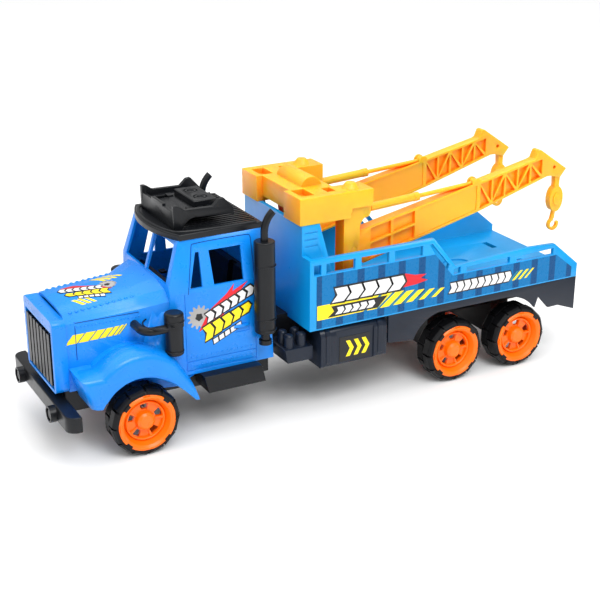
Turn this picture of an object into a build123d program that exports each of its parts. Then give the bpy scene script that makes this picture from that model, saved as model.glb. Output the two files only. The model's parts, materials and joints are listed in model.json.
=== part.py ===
from build123d import *
from math import cos, hypot, radians, sin, tan
import os

os.makedirs("parts", exist_ok=True)

# Toy tow truck. Millimetres, +X towards the nose, +Y to the truck's left, +Z up, floor at Z = 0.
# Lengths along the truck are measured from the front axle, positive towards the nose.

# Overall
nose_length = 75.0
body_half_width = 69.3
running_clearance = 0.08
loose_clearance = 0.3
skin = 2.2

# Wheels and axles
tyre_radius = 30.0
tyre_width = 25.0
wheel_face_y = 68.8
wheel_base = 305.6
tandem_spacing = 72.9
rear_overhang = 62.5
tail_length = wheel_base + tandem_spacing + rear_overhang
front_axle_x = (tail_length - nose_length) / 2
rim_lip_radius = 24.9
rim_seat_radius = 22.5
rim_lip_depth = 2.0
rim_disc_depth = 8.0
rim_disc_thickness = 3.0
hub_radius = 7.5
spoke_openings = 5
tread_grooves = 12
groove_depth = 2.0
groove_width = 3.0
axle_radius = 2.0
axle_end_gap = 3.0
tyre_inner_y = wheel_face_y - tyre_width
axle_stations = {"front": 0.0, "middle": -wheel_base, "rear": -wheel_base - tandem_spacing}

# Chassis
pan_half_width = 38.0
pan_waist_half = 34.0
pan_bottom = 38.0
cab_floor_z = 57.0
pan_front = 57.0
pan_rear = -126.0
spine_half_width = 28.0
spine_bottom = 52.0
spine_wall = 3.0
hanger_half_length = 10.0
hanger_half_width = 34.0
hanger_drop = 8.0

# Cab and hood
cab_half_width = 52.5
roof_half_width = 47.5
belt_z = 130.0
cab_top_z = 174.5
cab_rear_foot = -124.0
cab_rear_top = -118.0
windshield_foot = -30.0
windshield_top = -41.0
windshield_sill_z = 138.0
hood_front = 54.0
hood_front_half = 36.5
hood_rear_half = 38.5
cowl_half = 50.0
hood_crease_z = 118.5
hood_crown_z = 124.5
hood_flare_x = -8.0
grille_front = 65.5
grille_half_width = 33.5
grille_bottom_z = 59.5
grille_top_z = 110.0
arch_radius = 40.0
fender_rear_tip = -47.0

# Bed
skirt_thickness = 2.8
bed_front = -150.5
bed_bottom_z = 81.0
deck_top_z = 88.0
deck_thickness = 4.0
panel_thickness = 4.0
rail_front_z = 145.3
rail_rear_z = 118.4
rail_bar = 4.8
window_height = 9.3
tower_half_width = 55.0
tower_wall = 3.0
tower_top_z = 172.3
tower_depth_top = 17.0
tower_depth_foot = 41.0

# Crane
crane_y = 44.0
post_x = -203.5
head_bottom_z = 172.3
head_top_z = 195.7
head_half_width = 55.6
head_wall = 2.0
head_front = -148.6
head_rear = -219.8
arm_inner_y = 33.0
arm_bottom_z = 180.7
post_half_width = 7.5
post_cheek = 2.25
post_front = -193.5
post_back = -209.5
post_web = 2.7
foot_pin_radius = 4.0
top_pin_radius = 3.5
boom_pivot_z = 141.0
boom_root_radius = 6.5
boom_half_width = 5.0
trunnion_radius = 3.0
boom_flange = 2.2
boom_web_half = 1.4
barrel_pivot = (-215.4, 174.6)
rod_pivot = (-334.0, 182.0)
barrel_trunnion_radius = 2.4
barrel_radius = 3.7
barrel_length = 58.0
rod_radius = 2.0
rod_pin_radius = 1.5
rod_pin_clearance = 1.2
hook_pivot = (-428.0, 180.0)
hook_bar_radius = 1.3
tip_hole = (-421.5, 186.2)
tip_hole_radius = 1.75

sticker_thickness = 0.3


def side_view(y):
    """Plane seen from the truck's left: across is forward of the front axle, up is height."""
    return Plane(origin=(front_axle_x, y, 0), x_dir=(1, 0, 0), z_dir=(0, -1, 0))


def front_view(x):
    """Plane seen from the front: across is +Y, up is height."""
    return Plane(origin=(front_axle_x + x, 0, 0), x_dir=(0, 1, 0), z_dir=(1, 0, 0))


def plan_view(z):
    """Plane seen from above, centred over the front axle."""
    return Plane(origin=(front_axle_x, 0, z))


def save(piece, name):
    piece.part.label = name
    export_step(piece.part, f"parts/{name}.step")


def save_pair(left_piece, name):
    """Writes a piece made for the truck's left and its mirror image for the right."""
    save(left_piece, name + "_left")
    with BuildPart() as right_piece:
        mirror(left_piece.part, about=Plane.XZ)
    save(right_piece, name + "_right")


# Chassis: a tray under the cab, a hollow spine under the bed, and three axle bearings
chassis_length = tail_length - 8
deck_bottom_z = deck_top_z - deck_thickness
pan_wall = 3.0
screw_radius = 2.6
screw_depth = 1.2
screw_boss_radius = 5.4
screw_y = pan_waist_half - 8
screw_places = [(30, screw_y), (30, -screw_y), (-80, screw_y), (-80, -screw_y)]
with BuildPart() as chassis_frame:
    with BuildSketch(plan_view(pan_bottom)):
        Polygon(
            (pan_front, -pan_waist_half),
            (pan_front, pan_waist_half),
            (fender_rear_tip - 2, pan_waist_half),
            (fender_rear_tip - 2, pan_half_width),
            (pan_rear, pan_half_width),
            (pan_rear, -pan_half_width),
            (fender_rear_tip - 2, -pan_half_width),
            (fender_rear_tip - 2, -pan_waist_half),
            align=None,
        )
    extrude(amount=cab_floor_z - pan_bottom)
    with BuildSketch(plan_view(pan_bottom + pan_wall)):
        Polygon(
            (pan_front - pan_wall, -pan_waist_half + pan_wall),
            (pan_front - pan_wall, pan_waist_half - pan_wall),
            (pan_rear + pan_wall, pan_waist_half - pan_wall),
            (pan_rear + pan_wall, -pan_waist_half + pan_wall),
            align=None,
        )
        with Locations(*screw_places):
            Circle(screw_boss_radius, mode=Mode.SUBTRACT)
    extrude(amount=cab_floor_z - pan_bottom, mode=Mode.SUBTRACT)
    with BuildSketch(plan_view(pan_bottom)):
        with Locations(*screw_places):
            Circle(screw_radius + loose_clearance)
    extrude(amount=screw_depth, mode=Mode.SUBTRACT)
    with BuildSketch(plan_view(spine_bottom)):
        Polygon(
            (pan_rear, -spine_half_width),
            (pan_rear, spine_half_width),
            (-chassis_length, spine_half_width),
            (-chassis_length, -spine_half_width),
            align=None,
        )
    extrude(amount=deck_bottom_z - spine_bottom)
    with BuildSketch(plan_view(spine_bottom)):
        Polygon(
            (pan_rear - spine_wall, -spine_half_width + spine_wall),
            (pan_rear - spine_wall, spine_half_width - spine_wall),
            (-chassis_length + spine_wall, spine_half_width - spine_wall),
            (-chassis_length + spine_wall, -spine_half_width + spine_wall),
            align=None,
        )
    extrude(amount=deck_bottom_z - spine_bottom - spine_wall, mode=Mode.SUBTRACT)
    for station in axle_stations.values():
        bearing_top = pan_bottom + 1 if station == 0 else bed_bottom_z - skirt_thickness
        with BuildSketch(plan_view(tyre_radius - hanger_drop)):
            with Locations((station, 0)):
                Rectangle(2 * hanger_half_length, 2 * hanger_half_width)
        extrude(amount=bearing_top - tyre_radius + hanger_drop)
    for station in axle_stations.values():
        with BuildSketch(side_view(body_half_width)):
            with Locations((station, tyre_radius)):
                Circle(axle_radius + running_clearance)
        extrude(amount=2 * body_half_width, mode=Mode.SUBTRACT)
save(chassis_frame, "chassis_frame")

# Chassis screws, cross heads flush in counterbores under the pan
cross_length = 3.2
cross_width = 0.7
with BuildPart() as chassis_screws:
    for place in screw_places:
        with BuildSketch(plan_view(pan_bottom)):
            with Locations(place):
                Circle(screw_radius)
        extrude(amount=screw_depth)
        with BuildSketch(plan_view(pan_bottom)):
            with Locations(place):
                Rectangle(cross_length, cross_width)
                Rectangle(cross_width, cross_length)
        extrude(amount=screw_depth / 2, mode=Mode.SUBTRACT)
save(chassis_screws, "chassis_screws")

# Front bumper with swept corners
bumper_front = 69.2
bumper_half_width = 75.1
bumper_bottom = 38.5
bumper_top = 52.0
bumper_corner = 9.0
with BuildPart() as front_bumper:
    with BuildSketch(plan_view(bumper_bottom)):
        Polygon(
            (pan_front, -bumper_half_width),
            (bumper_front, -bumper_half_width),
            (bumper_front, bumper_half_width),
            (pan_front, bumper_half_width),
            align=None,
        )
    extrude(amount=bumper_top - bumper_bottom)
    fillet(front_bumper.edges().filter_by(Axis.Z).group_by(Axis.X)[-1], bumper_corner)
    fillet(front_bumper.faces().sort_by(Axis.Z)[-1].edges(), 1.0)
save(front_bumper, "front_bumper")

# Fog lamps, round housings with a dished lens
lamp_y = 42.6
lamp_z = 44.5
lamp_radius = 7.0
with BuildPart() as fog_lamps:
    for side in (1, -1):
        with BuildSketch(front_view(bumper_front)):
            with Locations((side * lamp_y, lamp_z)):
                Circle(lamp_radius)
        extrude(amount=nose_length - bumper_front)
        with BuildSketch(front_view(nose_length)):
            with Locations((side * lamp_y, lamp_z)):
                Circle(lamp_radius - 1.4)
        extrude(amount=-2.0, mode=Mode.SUBTRACT)
        with BuildSketch(front_view(nose_length - 2.2)):
            with Locations((side * lamp_y, lamp_z)):
                Circle(lamp_radius - 3.4)
        extrude(amount=1.4)
save(fog_lamps, "fog_lamps")


def hood_section(half_width, crease_z, crown_z, shrink=0.0):
    """Cross-section corners of the hood: upright sides, a crease and a crowned top."""
    half = half_width - shrink
    crease = crease_z - shrink
    crown = crown_z - shrink
    bottom = cab_floor_z - (1 if shrink else 0)
    shoulder = 0.86 * half
    return [
        (-half, bottom),
        (half, bottom),
        (half, crease - 2.5),
        (half - 2.5, crease),
        (shoulder - 2, crease + 0.62 * (crown - crease)),
        (0.4 * half, crown - 0.4),
        (-0.4 * half, crown - 0.4),
        (-shoulder + 2, crease + 0.62 * (crown - crease)),
        (-half + 2.5, crease),
        (-half, crease - 2.5),
    ]


hood_stations = [
    (hood_front, hood_front_half, hood_crease_z, hood_crown_z),
    (hood_flare_x, hood_rear_half, hood_crease_z + 2.5, hood_crown_z + 6),
    (windshield_foot, cowl_half, hood_crease_z + 9, windshield_sill_z - 1),
]
windshield_lean = (windshield_foot - windshield_top) / (cab_top_z - windshield_sill_z)


def windshield_x(z):
    return windshield_foot - windshield_lean * (z - windshield_sill_z)


# Cab body: hood, fenders and cab in one hollow moulding
with BuildPart() as cab_body:
    with BuildSketch(side_view(cab_half_width + 10)):
        Polygon(
            (cab_rear_foot, cab_floor_z),
            (windshield_foot, cab_floor_z),
            (windshield_foot, windshield_sill_z),
            (windshield_top, cab_top_z),
            (cab_rear_top, cab_top_z),
            align=None,
        )
    extrude(amount=2 * (cab_half_width + 10))
    with BuildSketch(front_view(cab_rear_foot - 10)):
        Polygon(
            (-cab_half_width, cab_floor_z),
            (cab_half_width, cab_floor_z),
            (cab_half_width, belt_z),
            (roof_half_width, cab_top_z),
            (-roof_half_width, cab_top_z),
            (-cab_half_width, belt_z),
            align=None,
        )
    extrude(amount=tail_length, mode=Mode.INTERSECT)
    for (x1, *size1), (x2, *size2) in zip(hood_stations, hood_stations[1:]):
        with BuildSketch(front_view(x1)):
            Polygon(*hood_section(*size1), align=None)
        with BuildSketch(front_view(x2)):
            Polygon(*hood_section(*size2), align=None)
        loft(ruled=True)
    # Radiator surround
    with BuildSketch(front_view(hood_front)):
        with Locations((0, (cab_floor_z + hood_crease_z + 1.5) / 2)):
            RectangleRounded(2 * hood_front_half + 3, hood_crease_z + 1.5 - cab_floor_z, 5)
    extrude(amount=grille_front - hood_front)
    # Fenders
    for side in (1, -1):
        start = body_half_width - 0.6 if side > 0 else -hood_front_half + skin
        with BuildSketch(side_view(start)):
            with BuildLine():
                Line((fender_rear_tip, 41), (fender_rear_tip + 5, 57))
                Line((fender_rear_tip + 5, 57), (-28, 78))
                ThreePointArc((-28, 78), (4, 92), (36, 78))
                Line((36, 78), (53.5, 78))
                Line((53.5, 78), (46, 52))
                Line((46, 52), (fender_rear_tip, 41))
            make_face()
        extrude(amount=body_half_width - 0.6 - hood_front_half + skin)
    arch_edges = cab_body.edges().filter_by(
        lambda edge: abs(edge.center().Y) > body_half_width - 1.5 and edge.center().Z > 58
    )
    fillet(arch_edges, 6.0)
    # Hollow inside the hood
    for (x1, *size1), (x2, *size2) in zip(hood_stations, hood_stations[1:]):
        with BuildSketch(front_view(x1)):
            Polygon(*hood_section(*size1, shrink=skin), align=None)
        with BuildSketch(front_view(x2)):
            Polygon(*hood_section(*size2, shrink=skin), align=None)
        loft(ruled=True, mode=Mode.SUBTRACT)
    # Hollow inside the cab, open below
    with BuildSketch(side_view(cab_half_width - skin)):
        Polygon(
            (cab_rear_foot + skin, cab_floor_z - 1),
            (windshield_foot - skin, cab_floor_z - 1),
            (windshield_foot - skin, windshield_sill_z),
            (windshield_top - skin, cab_top_z - skin),
            (cab_rear_top + skin, cab_top_z - skin),
            align=None,
        )
    inner_half = cab_half_width - skin
    top_inner_half = roof_half_width - skin
    cab_hollow = extrude(amount=2 * inner_half, mode=Mode.PRIVATE)
    with BuildSketch(front_view(cab_rear_foot - 10), mode=Mode.PRIVATE) as hollow_front:
        Polygon(
            (-inner_half, cab_floor_z - 1),
            (inner_half, cab_floor_z - 1),
            (inner_half, belt_z),
            (top_inner_half, cab_top_z),
            (-top_inner_half, cab_top_z),
            (-inner_half, belt_z),
            align=None,
        )
    hollow_cross = extrude(hollow_front.sketch, amount=tail_length, mode=Mode.PRIVATE)
    add(cab_hollow & hollow_cross, mode=Mode.SUBTRACT)
    # Passage between the cab and the hood
    with BuildSketch(front_view(windshield_foot - 4)):
        Polygon(
            (-hood_rear_half + skin, cab_floor_z - 1),
            (hood_rear_half - skin, cab_floor_z - 1),
            (hood_rear_half - skin, hood_crease_z),
            (-hood_rear_half + skin, hood_crease_z),
            align=None,
        )
    extrude(amount=10, mode=Mode.SUBTRACT)
    # Wheel arches, cut to the hood's side and swept down to the rear tip
    for side in (1, -1):
        start = body_half_width + 1 if side > 0 else -hood_front_half - 1.5
        with BuildSketch(side_view(start)):
            with BuildLine():
                Line((arch_radius + 2, tyre_radius - 20), (arch_radius + 2, tyre_radius + 2))
                ThreePointArc(
                    (arch_radius + 2, tyre_radius + 2),
                    (2, tyre_radius + arch_radius + 2),
                    (2 - 0.65 * arch_radius, tyre_radius + 2 + 0.76 * arch_radius),
                )
                Line(
                    (2 - 0.65 * arch_radius, tyre_radius + 2 + 0.76 * arch_radius),
                    (fender_rear_tip + 2, 40),
                )
                Line((fender_rear_tip + 2, 40), (fender_rear_tip + 2, tyre_radius - 20))
                Line((fender_rear_tip + 2, tyre_radius - 20), (arch_radius + 2, tyre_radius - 20))
            make_face()
        extrude(amount=body_half_width + 1 - hood_front_half - 1.5, mode=Mode.SUBTRACT)
    # Opening for the grille
    with BuildSketch(front_view(hood_front - 3)):
        with Locations((0, (grille_bottom_z + grille_top_z) / 2)):
            Rectangle(2 * grille_half_width, grille_top_z - grille_bottom_z)
    extrude(amount=grille_front - hood_front + 4, mode=Mode.SUBTRACT)
    # Split windshield
    for side in (1, -1):
        with BuildSketch(front_view(windshield_top - 8)):
            Polygon(
                (side * 2.0, windshield_sill_z),
                (side * 44.0, windshield_sill_z),
                (side * 41.5, cab_top_z - 4.5),
                (side * 2.0, cab_top_z - 4.5),
                align=None,
            )
        extrude(amount=30, mode=Mode.SUBTRACT)
    # Door windows and quarter windows, right through both sides
    with BuildSketch(side_view(cab_half_width + 2)):
        Polygon((-67, 163), (-96, 163), (-97, 133), (-70, 133), align=None)
        Polygon((-55, 163), (-58.5, 163), (-59.5, 133), (-48.5, 133), align=None)
    extrude(amount=2 * (cab_half_width + 2), mode=Mode.SUBTRACT)
    # Door outlines and handles, engraved in both sides
    for side in (1, -1):
        start = cab_half_width + 1 if side > 0 else -cab_half_width + 0.6
        with BuildSketch(side_view(start)):
            with Locations((-43.0, 95)):
                Rectangle(0.8, 68)
            with Locations((-107.5, 94)):
                Rectangle(0.8, 70)
            with Locations((-75, 60.8)):
                Rectangle(64, 0.8)
            with Locations((-75, 68.8)):
                Rectangle(64, 0.8)
            with Locations((-95, 90)):
                Rectangle(13, 6)
        extrude(amount=1.6, mode=Mode.SUBTRACT)
save(cab_body, "cab_body")

# Radiator grille with upright bars
bar_count = 7
with BuildPart() as radiator_grille:
    with BuildSketch(front_view(hood_front - 1)):
        with Locations((0, (grille_bottom_z + grille_top_z) / 2)):
            Rectangle(2 * grille_half_width, grille_top_z - grille_bottom_z)
    extrude(amount=grille_front - hood_front - 3)
    bar_pitch = (2 * grille_half_width - 4) / bar_count
    for bar in range(bar_count):
        with BuildSketch(front_view(grille_front - 4)):
            with Locations(((bar - (bar_count - 1) / 2) * bar_pitch, (grille_bottom_z + grille_top_z) / 2)):
                Rectangle(bar_pitch - 3, grille_top_z - grille_bottom_z - 6)
        extrude(amount=4.6)
save(radiator_grille, "radiator_grille")

# Cab interior: floor, bench seat, backs and dash
interior_half = cab_half_width - skin - loose_clearance
interior_rear = cab_rear_foot + skin + 3
interior_wall = 2.5
divider_half = 7.5
with BuildPart() as cab_interior:
    with BuildSketch(side_view(interior_half - 1)):
        Polygon(
            (interior_rear, cab_floor_z),
            (windshield_foot - skin - 0.5, cab_floor_z),
            (windshield_foot - skin - 0.5, 124),
            (-46, 128),
            (-52, 108),
            (-50, cab_floor_z + 3),
            (-74, cab_floor_z + 3),
            (-72, 88),
            (-104, 86),
            (-110, 130),
            (interior_rear + 2, 130),
            align=None,
        )
    extrude(amount=2 * (interior_half - 1))
    with BuildSketch(plan_view(cab_floor_z + 12)):
        with Locations((-91, 0)):
            Rectangle(46, 10)
    extrude(amount=90, mode=Mode.SUBTRACT)
    # Hollow under the seat, open below, with a divider on the centre line
    for hollow_y in (interior_half - 1 - interior_wall, -divider_half):
        with BuildSketch(side_view(hollow_y)):
            Polygon(
                (interior_rear + interior_wall, cab_floor_z - 1),
                (-74 - interior_wall, cab_floor_z - 1),
                (-72 - interior_wall, 88 - interior_wall),
                (interior_rear + interior_wall, 86 - interior_wall),
                align=None,
            )
        extrude(amount=interior_half - 1 - interior_wall - divider_half, mode=Mode.SUBTRACT)
save(cab_interior, "cab_interior")

# Steering wheel on a short column from the dash
wheel_centre = Vector(front_axle_x - 63, 24, 118)
column_lean = 35
column_direction = (-cos(radians(column_lean)), 0, sin(radians(column_lean)))
wheel_plane = Plane(origin=wheel_centre, x_dir=(0, 1, 0), z_dir=column_direction)
with BuildPart() as steering_wheel:
    with BuildSketch(wheel_plane):
        Circle(11)
        Circle(9, mode=Mode.SUBTRACT)
        Rectangle(20, 2.4)
        Circle(3.4)
    extrude(amount=1.2, both=True)
    with BuildSketch(wheel_plane):
        Circle(1.8)
    extrude(amount=-18)
save(steering_wheel, "steering_wheel")

# Roof panel with a bowed front visor and lengthwise ribs
roof_bottom = cab_top_z
roof_thickness = 5.0
visor_front = -30.0
visor_corner = -42.0
roof_rear = -117.5
roof_half = 48.5
rib_pitch = 4.6
with BuildPart() as roof_panel:
    with BuildSketch(plan_view(roof_bottom)):
        with BuildLine():
            ThreePointArc((visor_corner, -roof_half), (visor_front, 0), (visor_corner, roof_half))
            Line((visor_corner, roof_half), (roof_rear, roof_half - 1))
            Line((roof_rear, roof_half - 1), (roof_rear, -roof_half + 1))
            Line((roof_rear, -roof_half + 1), (visor_corner, -roof_half))
        make_face()
    extrude(amount=roof_thickness)
    fillet(roof_panel.faces().sort_by(Axis.Z)[-1].edges(), 1.2)
    with BuildSketch(plan_view(roof_bottom + roof_thickness)):
        with Locations(((roof_rear - 50) / 2, 0)):
            with GridLocations(1, rib_pitch, 1, 19):
                Rectangle(-50 - roof_rear - 6, 1.6)
    extrude(amount=0.8)
save(roof_panel, "roof_panel")

# Roof rack: stepped front wall, two arched side arms with raised horns, and a cross plate
rack_half = 36.0
arm_thickness = 4.0
rack_foot = roof_bottom + roof_thickness
with BuildPart() as roof_rack:
    for side in (1, -1):
        start = rack_half if side > 0 else -rack_half + arm_thickness
        with BuildSketch(side_view(start)):
            with BuildLine():
                Polyline((-43, rack_foot), (-42.5, 200), (-47, 199.5), (-53, 195.5), (-78, 195))
                Polyline((-78, 195), (-84, 200.5), (-88, 201), (-96, 192), (-97, 186), (-90, 187), (-66, 188))
                ThreePointArc((-66, 188), (-55, 186), (-50, rack_foot))
                Line((-50, rack_foot), (-43, rack_foot))
            make_face()
        extrude(amount=arm_thickness)
    with BuildSketch(front_view(-46)):
        Polygon(
            (-rack_half, rack_foot + 0.9),
            (rack_half, rack_foot + 0.9),
            (rack_half, 200),
            (rack_half - 5, 200),
            (rack_half - 5, 194),
            (12, 194),
            (12, 196),
            (-12, 196),
            (-12, 194),
            (-rack_half + 5, 194),
            (-rack_half + 5, 200),
            (-rack_half, 200),
            align=None,
        )
    extrude(amount=3)
    with BuildSketch(plan_view(188.5)):
        with Locations((-69.5, 0)):
            Rectangle(51, 2 * rack_half - 2)
        with Locations((-55, 22), (-55, -22)):
            SlotOverall(14, 7, mode=Mode.SUBTRACT)
    extrude(amount=2.5)
save(roof_rack, "roof_rack")

# Light box on the rack, with two dished discs
with BuildPart() as roof_light_box:
    with BuildSketch(plan_view(191)):
        with Locations((-78, 0)):
            Rectangle(21, 42)
    extrude(amount=6)
    fillet(roof_light_box.faces().sort_by(Axis.Z)[-1].edges(), 1.0)
    with BuildSketch(plan_view(197)):
        with Locations((-78, 10), (-78, -10)):
            Circle(6)
            Circle(4.8, mode=Mode.SUBTRACT)
            Circle(3)
    extrude(amount=-1, mode=Mode.SUBTRACT)
save(roof_light_box, "roof_light_box")

# Side step under the door
step_outer = 63.0
with BuildPart() as side_step:
    with BuildSketch(side_view(step_outer)):
        Polygon(
            (-54, cab_floor_z),
            (-58, 41.3),
            (-111.5, 41.3),
            (-108, cab_floor_z),
            align=None,
        )
    extrude(amount=step_outer - pan_half_width)
    with BuildSketch(side_view(step_outer - 2)):
        Polygon((-60, 40), (-61, 54), (-104, 54), (-107, 40), align=None)
    extrude(amount=step_outer - 4 - pan_half_width, mode=Mode.SUBTRACT)
save_pair(side_step, "side_step")

# Air cleaner: capped canister with an intake elbow into the hood's side
cleaner_x = -29.5
cleaner_radius = 7.4
cleaner_y = cab_half_width + cleaner_radius + 0.8
cleaner_top = 120.0
cleaner_bottom = 83.0
cap_bottom = 108.0
elbow_bend_x = -12.5
elbow_radius = 3.6
elbow_z = 106.5
with BuildPart() as air_cleaner:
    with BuildSketch(plan_view(cleaner_bottom)):
        with Locations((cleaner_x, cleaner_y)):
            Circle(cleaner_radius)
    extrude(amount=cap_bottom - cleaner_bottom)
    with BuildSketch(plan_view(cap_bottom)):
        with Locations((cleaner_x, cleaner_y)):
            Circle(cleaner_radius + 0.8)
    extrude(amount=cleaner_top - cap_bottom)
    fillet(air_cleaner.edges().filter_by(GeomType.CIRCLE).group_by(Axis.Z)[-1], 2.5)
    fillet(air_cleaner.edges().filter_by(GeomType.CIRCLE).group_by(Axis.Z)[0], 1.5)
    bend = 9.0
    with BuildLine() as elbow_path:
        start_point = (front_axle_x + cleaner_x, cleaner_y, elbow_z)
        bend_start = (front_axle_x + elbow_bend_x, cleaner_y, elbow_z)
        bend_end = (front_axle_x + elbow_bend_x + bend, cleaner_y - bend, elbow_z)
        hood_side = (front_axle_x + elbow_bend_x + bend, hood_rear_half, elbow_z)
        Line(start_point, bend_start)
        TangentArc(bend_start, bend_end, tangent=(1, 0, 0))
        Line(bend_end, hood_side)
    with BuildSketch(Plane(origin=start_point, x_dir=(0, 1, 0), z_dir=(1, 0, 0))):
        Circle(elbow_radius)
    sweep()
    # Pad against the cab's side
    with BuildSketch(side_view(cleaner_y - 3)):
        with Locations((-35, 96)):
            Rectangle(6, 14)
    extrude(amount=cleaner_y - 3 - cab_half_width)
save_pair(air_cleaner, "air_cleaner")

# Exhaust stack: silencer, foot and a curved tail pipe
stack_x = -111.5
stack_y = 62.1
silencer_radius = 9.0
silencer_bottom = 87.0
silencer_top = 168.0
tail_radius = 3.2
stack_top = 192.0
with BuildPart() as exhaust_stack:
    with BuildSketch(plan_view(silencer_bottom)):
        with Locations((stack_x, stack_y)):
            Circle(silencer_radius)
    extrude(amount=silencer_top - silencer_bottom)
    fillet(exhaust_stack.edges().filter_by(GeomType.CIRCLE), 1.2)
    with BuildSketch(plan_view(76)):
        with Locations((stack_x, stack_y)):
            Circle(5.5)
    extrude(amount=4)
    with BuildSketch(plan_view(80)):
        with Locations((stack_x, stack_y)):
            Circle(4)
    extrude(amount=silencer_bottom - 80)
    with BuildLine() as tail_path:
        pipe_foot = (front_axle_x + stack_x, stack_y, silencer_top)
        pipe_bend = (front_axle_x + stack_x, stack_y, silencer_top + 7)
        pipe_end = (front_axle_x + stack_x - 8, stack_y, stack_top)
        Line(pipe_foot, pipe_bend)
        TangentArc(pipe_bend, pipe_end, tangent=(0, 0, 1))
    with BuildSketch(plan_view(silencer_top)):
        with Locations((stack_x, stack_y)):
            Circle(tail_radius)
    sweep()
    # Bracket to the cab's side
    with BuildSketch(side_view(stack_y - 4)):
        with Locations((stack_x, 108)):
            Rectangle(8, 30)
    extrude(amount=stack_y - 4 - cab_half_width)
save_pair(exhaust_stack, "exhaust_stack")

# Battery box: open tray with two rows of domed canisters
tray_front = -130.0
tray_rear = -157.0
tray_outer = 63.0
canister_radius = 4.3
with BuildPart() as battery_box:
    with BuildSketch(side_view(tray_outer)):
        Polygon((tray_front, 65), (tray_front - 2.5, 52.5), (tray_rear, 52.5), (tray_rear, 65), align=None)
    extrude(amount=tray_outer - spine_half_width)
    for row_y in (56, 44):
        for canister_x in (tray_front - 7, tray_front - 19):
            with BuildSketch(plan_view(65)):
                with Locations((canister_x, row_y)):
                    Circle(canister_radius)
            extrude(amount=12)
    fillet(battery_box.edges().filter_by(GeomType.CIRCLE).group_by(Axis.Z)[-1], 3.0)
save_pair(battery_box, "battery_box")

# Fuel tank with rounded outer corners and two raised straps
tank_front = -162.0
tank_rear = -228.5
tank_outer = 69.0
tank_bottom = 43.5
tank_wall = 2.5
with BuildPart() as fuel_tank:
    with BuildSketch(front_view(tank_rear)):
        Polygon(
            (spine_half_width, tank_bottom),
            (tank_outer, tank_bottom),
            (tank_outer, bed_bottom_z - 1.5),
            (spine_half_width, bed_bottom_z - 1.5),
            align=None,
        )
    extrude(amount=tank_front - tank_rear)
    tank_outer_edges = fuel_tank.edges().filter_by(Axis.X).group_by(Axis.Y)[-1]
    fillet(tank_outer_edges.sort_by(Axis.Z)[-1:], 9.0)
    fillet(tank_outer_edges.sort_by(Axis.Z)[:1], 3.0)
    with BuildSketch(side_view(tank_outer + 1)):
        with Locations(((tank_front + tank_rear) / 2 - 1, 58)):
            Rectangle(38, 40)
    extrude(amount=2.2, mode=Mode.SUBTRACT)
    # Hollow, open towards the spine
    with BuildSketch(side_view(tank_outer - tank_wall - 1.2)):
        with Locations(((tank_front + tank_rear) / 2, (tank_bottom + bed_bottom_z - 1.5) / 2)):
            Rectangle(tank_front - tank_rear - 2 * tank_wall, bed_bottom_z - 1.5 - tank_bottom - 4 * tank_wall)
    extrude(amount=tank_outer - spine_half_width, mode=Mode.SUBTRACT)
save_pair(fuel_tank, "fuel_tank")

# Tank sticker in the recess
with BuildPart() as tank_sticker:
    with BuildSketch(side_view(tank_outer - 1.2 + sticker_thickness)):
        with Locations(((tank_front + tank_rear) / 2 - 1, 57.5)):
            Rectangle(31, 23)
    extrude(amount=sticker_thickness)
save_pair(tank_sticker, "tank_sticker")

# Rear skirt: a long arch over both rear wheels, with a flange under the bed
skirt_front = tank_rear - 1.5
arch_top_z = 74.0
middle_axle = axle_stations["middle"]
rear_axle = axle_stations["rear"]
arch_front = (middle_axle + 48.6, 52)
arch_front_top = (middle_axle + 21.6, arch_top_z)
arch_rear_top = (rear_axle + 18.5, arch_top_z)
arch_rear = (rear_axle - 14.8, 57.5)
with BuildPart() as rear_skirt:
    with BuildSketch(side_view(body_half_width)):
        with BuildLine():
            Polyline((-tail_length, bed_bottom_z), (skirt_front, bed_bottom_z), (skirt_front, 54.5))
            Line((skirt_front, 54.5), arch_front)
            ThreePointArc(arch_front, (middle_axle + 38.6, 66), arch_front_top)
            Line(arch_front_top, arch_rear_top)
            ThreePointArc(arch_rear_top, (rear_axle - 1.5, 68.5), arch_rear)
            Polyline(
                arch_rear,
                (rear_axle - 18.4, 68),
                (rear_axle - 31, 54.6),
                (20 - tail_length, 55),
                (-tail_length, 47.5),
            )
            Line((-tail_length, 47.5), (-tail_length, bed_bottom_z))
        make_face()
    extrude(amount=skirt_thickness)
    with BuildSketch(plan_view(bed_bottom_z - skirt_thickness)):
        Polygon(
            (skirt_front, spine_half_width),
            (skirt_front, body_half_width - 1),
            (-tail_length, body_half_width - 1),
            (-tail_length, spine_half_width),
            align=None,
        )
    extrude(amount=skirt_thickness)
save_pair(rear_skirt, "rear_skirt")

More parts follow.
